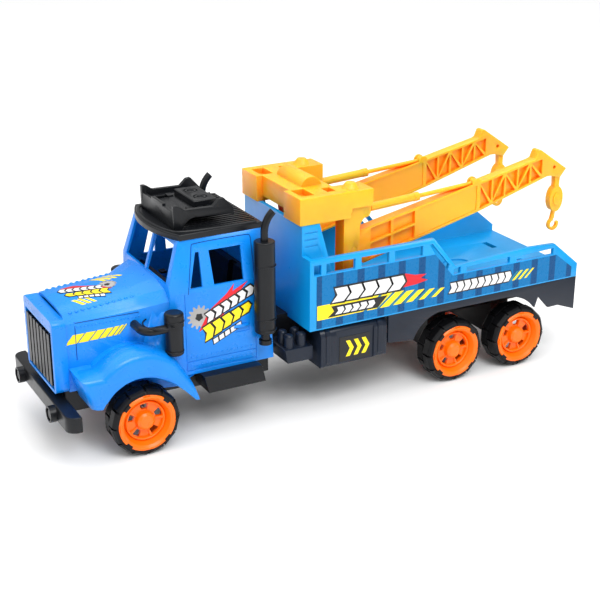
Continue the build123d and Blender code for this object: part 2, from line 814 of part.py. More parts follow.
# Bed: deck, railed side panels, bulkhead and the tower that carries the crane
rail_slope_top = -275.5
rail_slope_foot = -299.6
rail_chamfer_top = 29 - tail_length
rail_chamfer_z = 94.3
window_top = rail_front_z - rail_bar
window_bottom = window_top - window_height
rear_window_top = rail_rear_z - 4.2
rear_window_bottom = rear_window_top - 6.3
with BuildPart() as bed_body:
    for side in (1, -1):
        start = body_half_width if side > 0 else -body_half_width + panel_thickness
        with BuildSketch(side_view(start)):
            Polygon(
                (bed_front, bed_bottom_z),
                (bed_front, rail_front_z),
                (rail_slope_top, rail_front_z),
                (rail_slope_foot, rail_rear_z - 2.8),
                (59 - tail_length, rail_rear_z + 1),
                (rail_chamfer_top, rail_rear_z),
                (-tail_length, rail_chamfer_z),
                (-tail_length, bed_bottom_z),
                align=None,
            )
            for near, far in ((-154.5, -161.5), (-166.5, -195), (-201, -229), (-235, -264)):
                Polygon(
                    (near, window_bottom), (near, window_top), (far, window_top), (far, window_bottom),
                    align=None,
                    mode=Mode.SUBTRACT,
                )
            Polygon(
                (-271, window_top), (-274, window_top), (-293, 118), (-290, 110),
                align=None,
                mode=Mode.SUBTRACT,
            )
            rear_windows = ((-298, -305.5), (-312, 80.5 - tail_length), (73 - tail_length, 30 - tail_length))
            for near, far in rear_windows:
                Polygon(
                    (near, rear_window_bottom),
                    (near, rear_window_top - 1.5),
                    (far, rear_window_top),
                    (far, rear_window_bottom),
                    align=None,
                    mode=Mode.SUBTRACT,
                )
        extrude(amount=panel_thickness)
    # Deck with post sockets, a key slot and an oval recess
    with BuildSketch(plan_view(deck_bottom_z)):
        Polygon(
            (bed_front, -body_half_width + 1),
            (bed_front, body_half_width - 1),
            (-tail_length, body_half_width - 1),
            (-tail_length, -body_half_width + 1),
            align=None,
        )
        with Locations((post_x, crane_y), (post_x, -crane_y)):
            Circle(foot_pin_radius + running_clearance, mode=Mode.SUBTRACT)
        with Locations((31 - tail_length, 28), (31 - tail_length, -28)):
            Rectangle(6, 18, mode=Mode.SUBTRACT)
    extrude(amount=deck_thickness)
    with BuildSketch(plan_view(deck_top_z)):
        with Locations((-350, 0)):
            Ellipse(14, 11)
    extrude(amount=-1.5, mode=Mode.SUBTRACT)
    # Bulkhead
    with BuildSketch(front_view(bed_front - panel_thickness)):
        Polygon(
            (-body_half_width, bed_bottom_z),
            (-spine_half_width, bed_bottom_z),
            (-spine_half_width, deck_bottom_z),
            (spine_half_width, deck_bottom_z),
            (spine_half_width, bed_bottom_z),
            (body_half_width, bed_bottom_z),
            (body_half_width, rail_front_z),
            (tower_half_width, rail_front_z),
            (tower_half_width, tower_top_z),
            (-tower_half_width, tower_top_z),
            (-tower_half_width, rail_front_z),
            (-body_half_width, rail_front_z),
            align=None,
        )
    extrude(amount=panel_thickness)
    # Tower sides
    for side in (1, -1):
        start = tower_half_width if side > 0 else -tower_half_width + tower_wall
        with BuildSketch(side_view(start)):
            Polygon(
                (bed_front, deck_top_z - 1),
                (bed_front, tower_top_z),
                (bed_front - tower_depth_top, tower_top_z),
                (bed_front - tower_depth_foot, deck_top_z - 1),
                align=None,
            )
        extrude(amount=tower_wall)
        groove_start = tower_half_width + 1 if side > 0 else -tower_half_width + 0.8
        with BuildSketch(side_view(groove_start)):
            for groove in range(3):
                with Locations((bed_front - 9, 153 + 6 * groove)):
                    Rectangle(12, 1)
        extrude(amount=1.8, mode=Mode.SUBTRACT)
save(bed_body, "bed_body")

# Bed side stickers
with BuildPart() as bed_sticker:
    with BuildSketch(side_view(body_half_width + sticker_thickness)):
        Polygon(
            (bed_front - 6.5, bed_bottom_z + 1.5),
            (bed_front - 6.5, window_bottom - 1),
            (-277, window_bottom - 1),
            (-297, rear_window_bottom - 1),
            (rail_chamfer_top - 3, rear_window_bottom - 1),
            (7 - tail_length, 92),
            (7 - tail_length, bed_bottom_z + 1.5),
            align=None,
        )
    extrude(amount=sticker_thickness)
save_pair(bed_sticker, "bed_sticker")

# Door stickers
with BuildPart() as door_sticker:
    with BuildSketch(side_view(cab_half_width + sticker_thickness)):
        Polygon(
            (-50, 90), (-50, 103), (-58, 116), (-72, 118), (-90, 127), (-100, 128), (-101, 112),
            (-85, 99), (-82, 86), (-60, 82),
            align=None,
        )
    extrude(amount=sticker_thickness)
save_pair(door_sticker, "door_sticker")

# Mast head: the block on the tower, two arms over the posts, a drum and a web down to the deck
middle_bottom_z = 177.0
middle_rear = -192.0
middle_front = -154.0
middle_half = 25.7
drum_x = -177.0
drum_radius = 10.0
drum_half_length = 23.0
boss_radius = 8.0
with BuildPart() as mast_head:
    with BuildSketch(plan_view(middle_bottom_z)):
        Polygon(
            (head_front, -head_half_width),
            (head_front, -middle_half),
            (middle_front, -middle_half),
            (middle_front, middle_half),
            (head_front, middle_half),
            (head_front, head_half_width),
            (head_rear, head_half_width),
            (head_rear, arm_inner_y),
            (middle_rear, arm_inner_y),
            (middle_rear, -arm_inner_y),
            (head_rear, -arm_inner_y),
            (head_rear, -head_half_width),
            align=None,
        )
    extrude(amount=head_top_z - middle_bottom_z)
    # Outer ends reach lower than the middle, down to the tower's top
    for side in (1, -1):
        with BuildSketch(plan_view(tower_top_z)):
            Polygon(
                (head_front, side * middle_half),
                (head_front, side * head_half_width),
                (-198, side * head_half_width),
                (-198, side * (head_half_width - head_wall)),
                (-186, side * (head_half_width - head_wall)),
                (-186, side * middle_half),
                align=None,
            )
        extrude(amount=middle_bottom_z - tower_top_z)
    # Clearance under the arms for the posts' brackets
    for side in (1, -1):
        with BuildSketch(plan_view(middle_bottom_z - 1)):
            Polygon(
                (-189, side * (arm_inner_y - 1)),
                (-189, side * (head_half_width - head_wall)),
                (-199, side * (head_half_width - head_wall)),
                (-199, side * (head_half_width + 1)),
                (head_rear - 1, side * (head_half_width + 1)),
                (head_rear - 1, side * (arm_inner_y - 1)),
                align=None,
            )
        extrude(amount=arm_bottom_z - middle_bottom_z + 1, mode=Mode.SUBTRACT)
    # Bores for the posts' top pins, and the bosses above them
    for side in (1, -1):
        with BuildSketch(plan_view(head_top_z)):
            with Locations((post_x, side * crane_y)):
                Circle(boss_radius)
        extrude(amount=5, taper=38)
        with BuildSketch(plan_view(arm_bottom_z)):
            with Locations((post_x, side * crane_y)):
                Circle(top_pin_radius + running_clearance)
        extrude(amount=10.5, mode=Mode.SUBTRACT)
    # Sunken pockets in the top
    for side in (1, -1):
        with BuildSketch(plan_view(head_top_z)):
            with Locations((-160, side * 38)):
                Rectangle(12, 20)
            with Locations((-184, side * 40)):
                Rectangle(8, 12)
        extrude(amount=-5, mode=Mode.SUBTRACT)
    # Drum across the middle
    with BuildSketch(side_view(drum_half_length)):
        with Locations((drum_x, head_top_z - 2)):
            Circle(drum_radius)
    extrude(amount=2 * drum_half_length)
    # Web from the block down the back of the tower to the deck
    web_half = arm_inner_y - 1
    web_thickness = 3.0
    web_foot = bed_front - tower_depth_foot + 8
    web_top = bed_front - tower_depth_top - 3
    with BuildSketch(side_view(web_half)):
        Polygon(
            (web_top, middle_bottom_z + 1),
            (web_top - web_thickness, middle_bottom_z + 1),
            (web_foot - web_thickness, deck_top_z),
            (web_foot, deck_top_z),
            align=None,
        )
    extrude(amount=2 * web_half)
save(mast_head, "mast_head")

# Swing post: an upright channel that turns in the deck and in the mast head's arm
post_bottom = deck_top_z + loose_clearance
post_top = arm_bottom_z - loose_clearance
post_plate = 3.7
ear_radius = 4.8
cheek_inner = post_half_width - post_cheek
with BuildPart() as swing_post:
    with BuildSketch(side_view(crane_y + post_half_width)):
        with BuildLine():
            Polyline(
                (post_front, post_bottom),
                (post_front, post_top),
                (barrel_pivot[0] - ear_radius, post_top),
                (barrel_pivot[0] - ear_radius, barrel_pivot[1] - 1),
            )
            ThreePointArc(
                (barrel_pivot[0] - ear_radius, barrel_pivot[1] - 1),
                (barrel_pivot[0] - 2.5, barrel_pivot[1] - ear_radius + 0.2),
                (barrel_pivot[0] + 1, barrel_pivot[1] - ear_radius - 0.6),
            )
            ThreePointArc(
                (barrel_pivot[0] + 1, barrel_pivot[1] - ear_radius - 0.6),
                (post_back - 1.4, 165.5),
                (post_back, 159),
            )
            Polyline((post_back, 159), (post_back, post_bottom), (post_front, post_bottom))
        make_face()
    extrude(amount=2 * post_half_width)
    with BuildSketch(side_view(crane_y + cheek_inner)):
        Polygon(
            (post_front - post_web, post_bottom + post_plate),
            (post_front - post_web, post_top - post_plate),
            (post_back + 0.5, post_top - post_plate),
            (post_back + 0.5, post_top + 1),
            (barrel_pivot[0] - ear_radius - 1, post_top + 1),
            (barrel_pivot[0] - ear_radius - 1, post_bottom + post_plate),
            align=None,
        )
    extrude(amount=2 * cheek_inner, mode=Mode.SUBTRACT)
    with BuildSketch(side_view(crane_y + post_half_width)):
        with Locations((post_x, boom_pivot_z)):
            Circle(trunnion_radius + running_clearance)
        with Locations(barrel_pivot):
            Circle(barrel_trunnion_radius + running_clearance)
    extrude(amount=2 * post_half_width, mode=Mode.SUBTRACT)
    with BuildSketch(plan_view(post_top)):
        with Locations((post_x, crane_y)):
            Circle(top_pin_radius)
    extrude(amount=9.5)
    with BuildSketch(plan_view(post_bottom)):
        with Locations((post_x, crane_y)):
            Circle(foot_pin_radius)
    extrude(amount=-8)
save_pair(swing_post, "swing_post")

# Boom: a flanged beam with a solid middle panel, a ribbed root and a zigzag lattice outer half
boom_top = [(-209.7, 157.2), (-305.8, 176.7), (-396.0, 195.6)]
boom_bottom = [(-215.0, 126.5), (-266.6, 138.8), (-338.5, 156.2), (-413.3, 178.4)]


def along(points, x):
    """Height of a broken line at x, for points listed from front to rear."""
    for (x1, z1), (x2, z2) in zip(points, points[1:]):
        if x >= x2 or (x2, z2) == points[-1]:
            return z1 + (z2 - z1) * (x1 - x) / (x1 - x2)


panel_front = -270.0
panel_rear = -337.0
lattice_rear = -408.0
lattice_bays = 5
rib_width = 1.8
rod_dx = barrel_pivot[0] - rod_pivot[0]
rod_dz = rod_pivot[1] - barrel_pivot[1]
strut_length = hypot(rod_dx, rod_dz)
strut_slope = rod_dz / rod_dx
rod_eye_radius = rod_pin_radius + rod_pin_clearance + 1.5
lug_radius = 4.8
lug_slot_half = 3.0
lug_slot_length = 46.0
strut_swing = 2.5
slot_drop = lug_slot_length * (strut_slope + tan(radians(strut_swing)))
with BuildPart() as boom:
    with BuildSketch(side_view(crane_y + boom_half_width)):
        Polygon(
            (post_x + 1, boom_pivot_z + boom_root_radius - 0.3),
            *boom_top,
            (-399.0, 197.0),
            (-402.0, 204.0),
            (-404.6, 204.6),
            (-435.5, 183.4),
            (-428.9, 175.4),
            (-417.8, 178.4),
            *reversed(boom_bottom),
            (post_x + 1, boom_pivot_z - boom_root_radius + 0.3),
            align=None,
        )
        with Locations((post_x, boom_pivot_z)):
            Circle(boom_root_radius)
        with Locations(rod_pivot):
            Circle(lug_radius)
    extrude(amount=2 * boom_half_width)
    # Pockets from both sides: root ribs, shallow middle panel, lattice bays
    for face_y, depth_sign in ((crane_y + boom_half_width, 1), (crane_y - boom_half_width, -1)):
        with BuildSketch(side_view(face_y)):
            for front_x, back_x in ((-222.0, -243.0), (-245.5, panel_front + boom_flange)):
                for low, high in ((0.0, 0.46), (0.54, 1.0)):
                    corners = []
                    for x, part in ((front_x, low), (back_x, low), (back_x, high), (front_x, high)):
                        floor_z = along(boom_bottom, x) + boom_flange
                        roof_z = along(boom_top, x) - boom_flange
                        corners.append((x, floor_z + part * (roof_z - floor_z)))
                    Polygon(*corners, align=None)
            bay = (panel_rear - lattice_rear) / lattice_bays
            for number in range(lattice_bays):
                x1 = panel_rear - number * bay - rib_width / 2
                x2 = panel_rear - (number + 1) * bay + rib_width / 2
                low1 = along(boom_bottom, x1) + boom_flange
                low2 = along(boom_bottom, x2) + boom_flange
                high1 = along(boom_top, x1) - boom_flange
                high2 = along(boom_top, x2) - boom_flange
                if number % 2:
                    Polygon((x1, low1), (x2, low2), (x2, high2 - 2), align=None)
                    Polygon((x1, high1), (x1, low1 + 2), (x2 + 1.5, high2), align=None)
                else:
                    Polygon((x1, high1), (x2, high2), (x2, low2 + 2), align=None)
                    Polygon((x1, low1), (x1, high1 - 2), (x2 + 1.5, low2), align=None)
        extrude(amount=depth_sign * (boom_half_width - boom_web_half), mode=Mode.SUBTRACT)
        with BuildSketch(side_view(face_y)):
            corners = []
            for x in (panel_front - 1, panel_rear + 3):
                corners.append((x, along(boom_bottom, x) + boom_flange))
            for x in (panel_rear + 3, panel_front - 1):
                corners.append((x, along(boom_top, x) - boom_flange))
            Polygon(*corners, align=None)
        extrude(amount=depth_sign * 0.9, mode=Mode.SUBTRACT)
    # Slot for the rod's eye, with its pin left across it
    with BuildSketch(side_view(crane_y + lug_slot_half)):
        with Locations(rod_pivot):
            Circle(rod_eye_radius + 1.6)
        Polygon(
            (rod_pivot[0], rod_pivot[1] - rod_radius - 1.2),
            (rod_pivot[0] + lug_slot_length, rod_pivot[1] - slot_drop - rod_radius - 1.2),
            (rod_pivot[0] + lug_slot_length, rod_pivot[1] + 12),
            (rod_pivot[0], rod_pivot[1] + 12),
            align=None,
        )
    extrude(amount=2 * lug_slot_half, mode=Mode.SUBTRACT)
    with BuildSketch(side_view(crane_y + lug_slot_half + 0.5)):
        with Locations(rod_pivot):
            Circle(rod_pin_radius)
    extrude(amount=2 * lug_slot_half + 1)
    # Slot for the hook's eye, with its cross bar
    hook_slot_half = 3.3
    with BuildSketch(side_view(crane_y + hook_slot_half)):
        with Locations(hook_pivot):
            Circle(4.7)
        Polygon(
            (hook_pivot[0] + 4.7, hook_pivot[1] + 1),
            (hook_pivot[0] - 4.7, hook_pivot[1] + 1),
            (hook_pivot[0] - 12, hook_pivot[1] - 12),
            (hook_pivot[0] + 10, hook_pivot[1] - 12),
            align=None,
        )
    extrude(amount=2 * hook_slot_half, mode=Mode.SUBTRACT)
    with BuildSketch(side_view(crane_y + hook_slot_half + 0.5)):
        with Locations(hook_pivot):
            Circle(hook_bar_radius)
    extrude(amount=2 * hook_slot_half + 1)
    # Rope hole through the tip
    with BuildSketch(side_view(crane_y + boom_half_width + 1)):
        with Locations(tip_hole):
            Circle(tip_hole_radius)
    extrude(amount=2 * boom_half_width + 2, mode=Mode.SUBTRACT)
    # Trunnions in the post's cheeks
    with BuildSketch(side_view(crane_y + post_half_width)):
        with Locations((post_x, boom_pivot_z)):
            Circle(trunnion_radius)
    extrude(amount=2 * post_half_width)
save_pair(boom, "boom")

# Strut barrel and rod, on a line from the post's ears to the boom's lug
strut_direction = (-rod_dx / strut_length, 0, rod_dz / strut_length)


def strut_plane(distance):
    """Plane across the strut at a distance from the barrel's pivot."""
    return Plane(
        origin=(
            front_axle_x + barrel_pivot[0] + strut_direction[0] * distance,
            crane_y,
            barrel_pivot[1] + strut_direction[2] * distance,
        ),
        x_dir=(0, 1, 0),
        z_dir=strut_direction,
    )


bore_start = 12.0
rod_start = 26.0
neck_length = 8.0
collar_length = 5.0
collar_step = 0.3
with BuildPart() as cylinder_barrel:
    with BuildSketch(side_view(crane_y + cheek_inner - 0.25)):
        with Locations(barrel_pivot):
            Circle(4.0)
    extrude(amount=2 * (cheek_inner - 0.25))
    with BuildSketch(side_view(crane_y + post_half_width)):
        with Locations(barrel_pivot):
            Circle(barrel_trunnion_radius)
    extrude(amount=2 * post_half_width)
    with BuildSketch(strut_plane(1)):
        Circle(2.6)
    extrude(amount=neck_length)
    with BuildSketch(strut_plane(neck_length)):
        Circle(barrel_radius)
    extrude(amount=barrel_length - neck_length)
    with BuildSketch(strut_plane(barrel_length - collar_length)):
        Circle(barrel_radius + collar_step)
    extrude(amount=collar_length)
    with BuildSketch(strut_plane(bore_start)):
        Circle(rod_radius + running_clearance)
    extrude(amount=barrel_length, mode=Mode.SUBTRACT)
save_pair(cylinder_barrel, "cylinder_barrel")

with BuildPart() as cylinder_rod:
    with BuildSketch(strut_plane(rod_start)):
        Circle(rod_radius)
    extrude(amount=strut_length - rod_start - rod_eye_radius + 1)
    with BuildSketch(side_view(crane_y + lug_slot_half - 0.5)):
        with Locations(rod_pivot):
            Circle(rod_eye_radius)
    extrude(amount=2 * (lug_slot_half - 0.5))
    with BuildSketch(side_view(crane_y + lug_slot_half)):
        with Locations(rod_pivot):
            Circle(rod_pin_radius + rod_pin_clearance)
    extrude(amount=2 * lug_slot_half, mode=Mode.SUBTRACT)
save_pair(cylinder_rod, "cylinder_rod")

# Hook block: eye and neck, oval block, and a hook that opens to the rear
eye_half = 2.9
block_centre_z = 154.0
throat_centre_z = 128.5
hook_wire = 2.6
hook_outer = 6.2
with BuildPart() as hook:
    with BuildSketch(side_view(crane_y + eye_half)):
        with Locations(hook_pivot):
            Circle(3.6)
        Polygon(
            (hook_pivot[0] + 3.0, hook_pivot[1] - 2),
            (hook_pivot[0] - 3.0, hook_pivot[1] - 2),
            (hook_pivot[0] - 2.4, hook_pivot[1] - 12),
            (hook_pivot[0] - 3.2, block_centre_z + 9),
            (hook_pivot[0] + 3.2, block_centre_z + 9),
            (hook_pivot[0] + 2.4, hook_pivot[1] - 12),
            align=None,
        )
    extrude(amount=2 * eye_half)
    with BuildSketch(side_view(crane_y + 3.5)):
        with Locations((hook_pivot[0], block_centre_z)):
            Ellipse(7.6, 12.5)
    extrude(amount=7)
    with BuildSketch(side_view(crane_y + 4.5)):
        with Locations((hook_pivot[0], block_centre_z)):
            Ellipse(4.0, 6.0)
    extrude(amount=9)
    with BuildSketch(side_view(crane_y + 1.5)):
        with Locations((hook_pivot[0], throat_centre_z)):
            Circle(hook_outer)
            Circle(hook_outer - hook_wire, mode=Mode.SUBTRACT)
        Polygon(
            (hook_pivot[0], throat_centre_z),
            (hook_pivot[0] + 1.6, throat_centre_z + 12),
            (hook_pivot[0] - 12, throat_centre_z + 12),
            (hook_pivot[0] - 12, throat_centre_z + 4.5),
            align=None,
            mode=Mode.SUBTRACT,
        )
        Polygon(
            (hook_pivot[0] + 1.4, block_centre_z - 11),
            (hook_pivot[0] - 1.4, block_centre_z - 11),
            (hook_pivot[0] - 0.6, throat_centre_z + 6.5),
            (hook_pivot[0] + 1.2, throat_centre_z + 3.8),
            (hook_pivot[0] + 3.6, throat_centre_z + 4.2),
            align=None,
        )
    extrude(amount=3)
    with BuildSketch(side_view(crane_y + eye_half + 1)):
        with Locations(hook_pivot):
            Circle(hook_bar_radius + running_clearance)
    extrude(amount=2 * eye_half + 2, mode=Mode.SUBTRACT)
save_pair(hook, "hook")

# Axles, rims and tyres
for place, station in axle_stations.items():
    with BuildPart() as axle:
        with BuildSketch(side_view(wheel_face_y - axle_end_gap)):
            with Locations((station, tyre_radius)):
                Circle(axle_radius)
        extrude(amount=2 * (wheel_face_y - axle_end_gap))
    save(axle, f"axle_{place}")

    wheel_axis = Axis((front_axle_x + station, 0, tyre_radius), (0, 1, 0))
    spindle = Plane(
        origin=(front_axle_x + station, 0, tyre_radius), x_dir=(0, 1, 0), z_dir=(1, 0, 0)
    )
    disc_outer_y = wheel_face_y - rim_disc_depth
    with BuildPart() as rim:
        with BuildSketch(spindle):
            Polygon(
                (tyre_inner_y + 1, axle_radius),
                (wheel_face_y - 2.5, axle_radius),
                (wheel_face_y - 2.5, hub_radius - 2),
                (wheel_face_y - 4, hub_radius),
                (disc_outer_y, hub_radius + 1),
                (disc_outer_y, 17.5),
                (wheel_face_y - 1.5, 20.5),
                (wheel_face_y, 22.5),
                (wheel_face_y, rim_lip_radius - 0.8),
                (wheel_face_y - 0.8, rim_lip_radius),
                (wheel_face_y - rim_lip_depth, rim_lip_radius),
                (wheel_face_y - rim_lip_depth, rim_seat_radius),
                (tyre_inner_y + 1, rim_seat_radius),
                (tyre_inner_y + 1, rim_seat_radius - 2),
                (disc_outer_y - rim_disc_thickness - 2, rim_seat_radius - 3),
                (disc_outer_y - rim_disc_thickness, 16),
                (disc_outer_y - rim_disc_thickness, hub_radius),
                (tyre_inner_y + 1, hub_radius - 1),
                align=None,
            )
        revolve(axis=wheel_axis)
        with BuildSketch(side_view(wheel_face_y)):
            with Locations((station, tyre_radius)):
                with PolarLocations(0, spoke_openings, start_angle=90):
                    Polygon((9.6, -2.4), (9.6, 2.4), (15.8, 4.4), (15.8, -4.4), align=None)
        extrude(amount=tyre_width - 2, mode=Mode.SUBTRACT)
        with BuildSketch(side_view(wheel_face_y)):
            with Locations((station, tyre_radius)):
                with PolarLocations(rim_lip_radius, 4, start_angle=90):
                    Rectangle(2.6, 6)
        extrude(amount=1.2, mode=Mode.SUBTRACT)
    save_pair(rim, f"rim_{place}")

    with BuildPart() as tyre:
        with BuildSketch(spindle):
            Polygon(
                (tyre_inner_y, rim_seat_radius),
                (wheel_face_y - rim_lip_depth, rim_seat_radius),
                (wheel_face_y - rim_lip_depth, rim_lip_radius + loose_clearance),
                (wheel_face_y - 0.8, rim_lip_radius + 0.8),
                (wheel_face_y - 1.2, tyre_radius - 2.6),
                (wheel_face_y - 4.5, tyre_radius),
                (tyre_inner_y + 4, tyre_radius),
                (tyre_inner_y, tyre_radius - 2.5),
                align=None,
            )
        revolve(axis=wheel_axis)
        with BuildSketch(side_view(wheel_face_y + 1)):
            with Locations((station, tyre_radius)):
                with PolarLocations(tyre_radius, tread_grooves, start_angle=90 + 180 / tread_grooves):
                    Rectangle(2 * groove_depth, groove_width)
        extrude(amount=9, mode=Mode.SUBTRACT)
    save_pair(tyre, f"tyre_{place}")
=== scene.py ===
import json
import math

import bmesh
import bpy
from mathutils import Matrix, Vector
from mathutils.bvhtree import BVHTree


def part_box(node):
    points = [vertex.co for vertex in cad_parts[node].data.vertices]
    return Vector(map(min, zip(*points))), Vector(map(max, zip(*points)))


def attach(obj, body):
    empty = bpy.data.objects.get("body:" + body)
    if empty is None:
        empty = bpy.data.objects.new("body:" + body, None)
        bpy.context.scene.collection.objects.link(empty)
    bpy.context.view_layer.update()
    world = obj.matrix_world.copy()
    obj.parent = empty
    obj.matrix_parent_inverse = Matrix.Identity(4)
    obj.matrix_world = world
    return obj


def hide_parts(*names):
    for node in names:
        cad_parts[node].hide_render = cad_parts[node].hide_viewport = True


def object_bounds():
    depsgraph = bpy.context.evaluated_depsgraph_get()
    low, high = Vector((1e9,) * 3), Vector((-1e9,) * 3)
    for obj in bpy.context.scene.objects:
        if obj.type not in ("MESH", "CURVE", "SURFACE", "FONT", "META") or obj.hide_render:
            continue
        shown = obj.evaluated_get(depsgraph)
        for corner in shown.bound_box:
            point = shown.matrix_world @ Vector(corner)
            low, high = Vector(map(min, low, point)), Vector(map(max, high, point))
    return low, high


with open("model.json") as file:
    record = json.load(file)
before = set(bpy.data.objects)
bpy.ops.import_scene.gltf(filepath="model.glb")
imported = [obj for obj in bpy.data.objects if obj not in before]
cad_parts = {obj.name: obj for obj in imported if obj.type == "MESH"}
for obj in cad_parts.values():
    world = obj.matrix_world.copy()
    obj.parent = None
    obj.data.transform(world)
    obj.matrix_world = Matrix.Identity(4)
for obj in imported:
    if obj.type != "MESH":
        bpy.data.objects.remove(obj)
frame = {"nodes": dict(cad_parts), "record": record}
cad_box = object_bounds()

# Places are in millimetres: distance forward of the front axle, distance to the truck's left, height.
MM = 0.001
SIDES = {"left": 1, "right": -1}
axle_low, axle_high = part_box("axle_front")
AXLE_X = (axle_low.x + axle_high.x) / 2


def at(forward, left, up):
    return Vector((AXLE_X + forward * MM, left * MM, up * MM))


def part_mm(node):
    """A CAD node's box in millimetres from the front axle."""
    low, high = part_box(node)
    shift = Vector((AXLE_X, 0, 0))
    return (low - shift) / MM, (high - shift) / MM


# ---------------------------------------------------------------- materials
def link(tree, a, b):
    tree.links.new(a, b)


def new_material(name):
    material = bpy.data.materials.new(name)
    material.use_nodes = True
    return material, material.node_tree, material.node_tree.nodes["Principled BSDF"]


def object_noise(tree, scale, detail=3.0):
    """Noise fixed to the object, in noise cells per metre."""
    place = tree.nodes.new("ShaderNodeTexCoord")
    noise = tree.nodes.new("ShaderNodeTexNoise")
    noise.inputs["Scale"].default_value = scale
    noise.inputs["Detail"].default_value = detail
    link(tree, place.outputs["Object"], noise.inputs["Vector"])
    return noise


def ramp(tree, source, low, high, start=0.35, end=0.65):
    node = tree.nodes.new("ShaderNodeValToRGB")
    node.color_ramp.elements[0].position = start
    node.color_ramp.elements[1].position = end
    node.color_ramp.elements[0].color = low
    node.color_ramp.elements[1].color = high
    link(tree, source, node.inputs["Fac"])
    return node


def spread(tree, source, low, high):
    node = tree.nodes.new("ShaderNodeMapRange")
    node.inputs["To Min"].default_value = low
    node.inputs["To Max"].default_value = high
    link(tree, source, node.inputs["Value"])
    return node.outputs["Result"]


def scaled(colour, share):
    """A colour made lighter or darker, with its alpha."""
    return tuple(c * share for c in colour) + (1.0,)


# Colour sockets of the Mix node, which can't be told apart by name
MIX_A, MIX_B, MIX_RESULT = 6, 7, 2


def plastic(
    name, colour, roughness, grain=1400.0, relief=0.04, shine=0.4, glow=0.0, contrast=0.10, painted_shade=None,
):
    """Moulded plastic: flow marks in the colour, uneven gloss and a fine moulding grain.

    glow is the share of light let in under the surface; the last argument gives painted shade, a colour that
    occluded corners and recesses mix towards.
    """
    material, tree, shader = new_material(name)
    flow = object_noise(tree, 22.0, 4.0)
    tint = ramp(tree, flow.outputs["Fac"], scaled(colour, 1 - contrast), scaled(colour, 1 + contrast / 2))
    link(tree, tint.outputs["Color"], shader.inputs["Base Color"])
    gloss = object_noise(tree, 160.0, 3.0)
    uneven = spread(tree, gloss.outputs["Fac"], roughness - 0.06, roughness + 0.08)
    link(tree, uneven, shader.inputs["Roughness"])
    # Painted shade: an ambient-occlusion mask mixes the colour towards the shade colour in corners and
    # recesses, standing for light glowing through the plastic
    if painted_shade:
        corner = tree.nodes.new("ShaderNodeAmbientOcclusion")
        corner.inputs["Distance"].default_value = 0.045
        corner.samples = 8
        mix = tree.nodes.new("ShaderNodeMix")
        mix.data_type = "RGBA"
        mix.inputs[MIX_A].default_value = scaled(painted_shade, 1.0)
        link(tree, spread(tree, corner.outputs["AO"], -0.1, 1.15), mix.inputs["Factor"])
        link(tree, tint.outputs["Color"], mix.inputs[MIX_B])
        link(tree, mix.outputs[MIX_RESULT], shader.inputs["Base Color"])
    fine = object_noise(tree, grain, 2.0)
    bump = tree.nodes.new("ShaderNodeBump")
    bump.inputs["Strength"].default_value = relief
    bump.inputs["Distance"].default_value = 0.0004
    link(tree, fine.outputs["Fac"], bump.inputs["Height"])
    link(tree, bump.outputs["Normal"], shader.inputs["Normal"])
    shader.inputs["IOR"].default_value = 1.49
    shader.inputs["Specular IOR Level"].default_value = shine
    if glow:
        shader.inputs["Subsurface Weight"].default_value = glow
        shader.inputs["Subsurface Radius"].default_value = (1.0, 0.22, 0.02)
        shader.inputs["Subsurface Scale"].default_value = 0.012
    return material


def brushed_metal(name, colour, roughness):
    material, tree, shader = new_material(name)
    scratches = object_noise(tree, 900.0, 5.0)
    tint = ramp(tree, scratches.outputs["Fac"], scaled(colour, 0.75), scaled(colour, 1.0))
    link(tree, tint.outputs["Color"], shader.inputs["Base Color"])
    uneven = spread(tree, scratches.outputs["Fac"], roughness - 0.08, roughness + 0.12)
    link(tree, uneven, shader.inputs["Roughness"])
    shader.inputs["Metallic"].default_value = 1.0
    return material


def banded_film(name, light, dark, pitch_mm, share):
    """Printed film with upright bands fixed to the truck's length."""
    material, tree, shader = new_material(name)
    place = tree.nodes.new("ShaderNodeTexCoord")
    split = tree.nodes.new("ShaderNodeSeparateXYZ")
    link(tree, place.outputs["Object"], split.inputs["Vector"])
    step = tree.nodes.new("ShaderNodeMath")
    step.operation = "MULTIPLY"
    step.inputs[1].default_value = 1 / (pitch_mm * MM)
    link(tree, split.outputs["X"], step.inputs[0])
    part = tree.nodes.new("ShaderNodeMath")
    part.operation = "FRACT"
    link(tree, step.outputs["Value"], part.inputs[0])
    colours = (scaled(dark, 1.0), scaled(light, 1.0))
    band = ramp(tree, part.outputs["Value"], *colours, share - 0.02, share + 0.02)
    link(tree, band.outputs["Color"], shader.inputs["Base Color"])
    shader.inputs["Specular IOR Level"].default_value = 0.2
    sheen = object_noise(tree, 300.0, 3.0)
    link(tree, spread(tree, sheen.outputs["Fac"], 0.22, 0.34), shader.inputs["Roughness"])
    return material


CAB_BLUE = (0.002, 0.23, 0.80)
BED_BLUE = (0.002, 0.31, 0.72)
YELLOW = (1.0, 0.45, 0.014)
ORANGE = (1.0, 0.165, 0.001)
BLACK = (0.006, 0.007, 0.009)
SLATE = (0.009, 0.014, 0.026)

blue_cab = plastic("cab_blue", CAB_BLUE, 0.28)
blue_bed = plastic("bed_blue", BED_BLUE, 0.30)
# Dark blue of the engraved lines: painted shade in the grooves
groove_shade_blue = plastic("painted_groove_shade", (0.002, 0.05, 0.24), 0.45, shine=0.2)
# The crane's corners and recesses get painted orange shade
crane = plastic("crane_yellow", YELLOW, 0.32, glow=0.7, contrast=0.06, painted_shade=(1.0, 0.17, 0.002))
orange = plastic("rim_orange", ORANGE, 0.30, contrast=0.06)
black = plastic("trim_black", BLACK, 0.30, relief=0.08, shine=0.28, contrast=0.25)
slate = plastic("trim_slate", SLATE, 0.30, relief=0.08, shine=0.30, contrast=0.20)
tread = plastic(
    "tyre_black", (0.004, 0.004, 0.005), 0.42, shine=0.25, grain=2200.0, relief=0.16, contrast=0.30,
)
metal = brushed_metal("bright_wire", (0.62, 0.62, 0.64), 0.28)
film_blue = banded_film("film_blue", (0.001, 0.155, 0.40), (0.001, 0.065, 0.20), 21.0, 0.34)
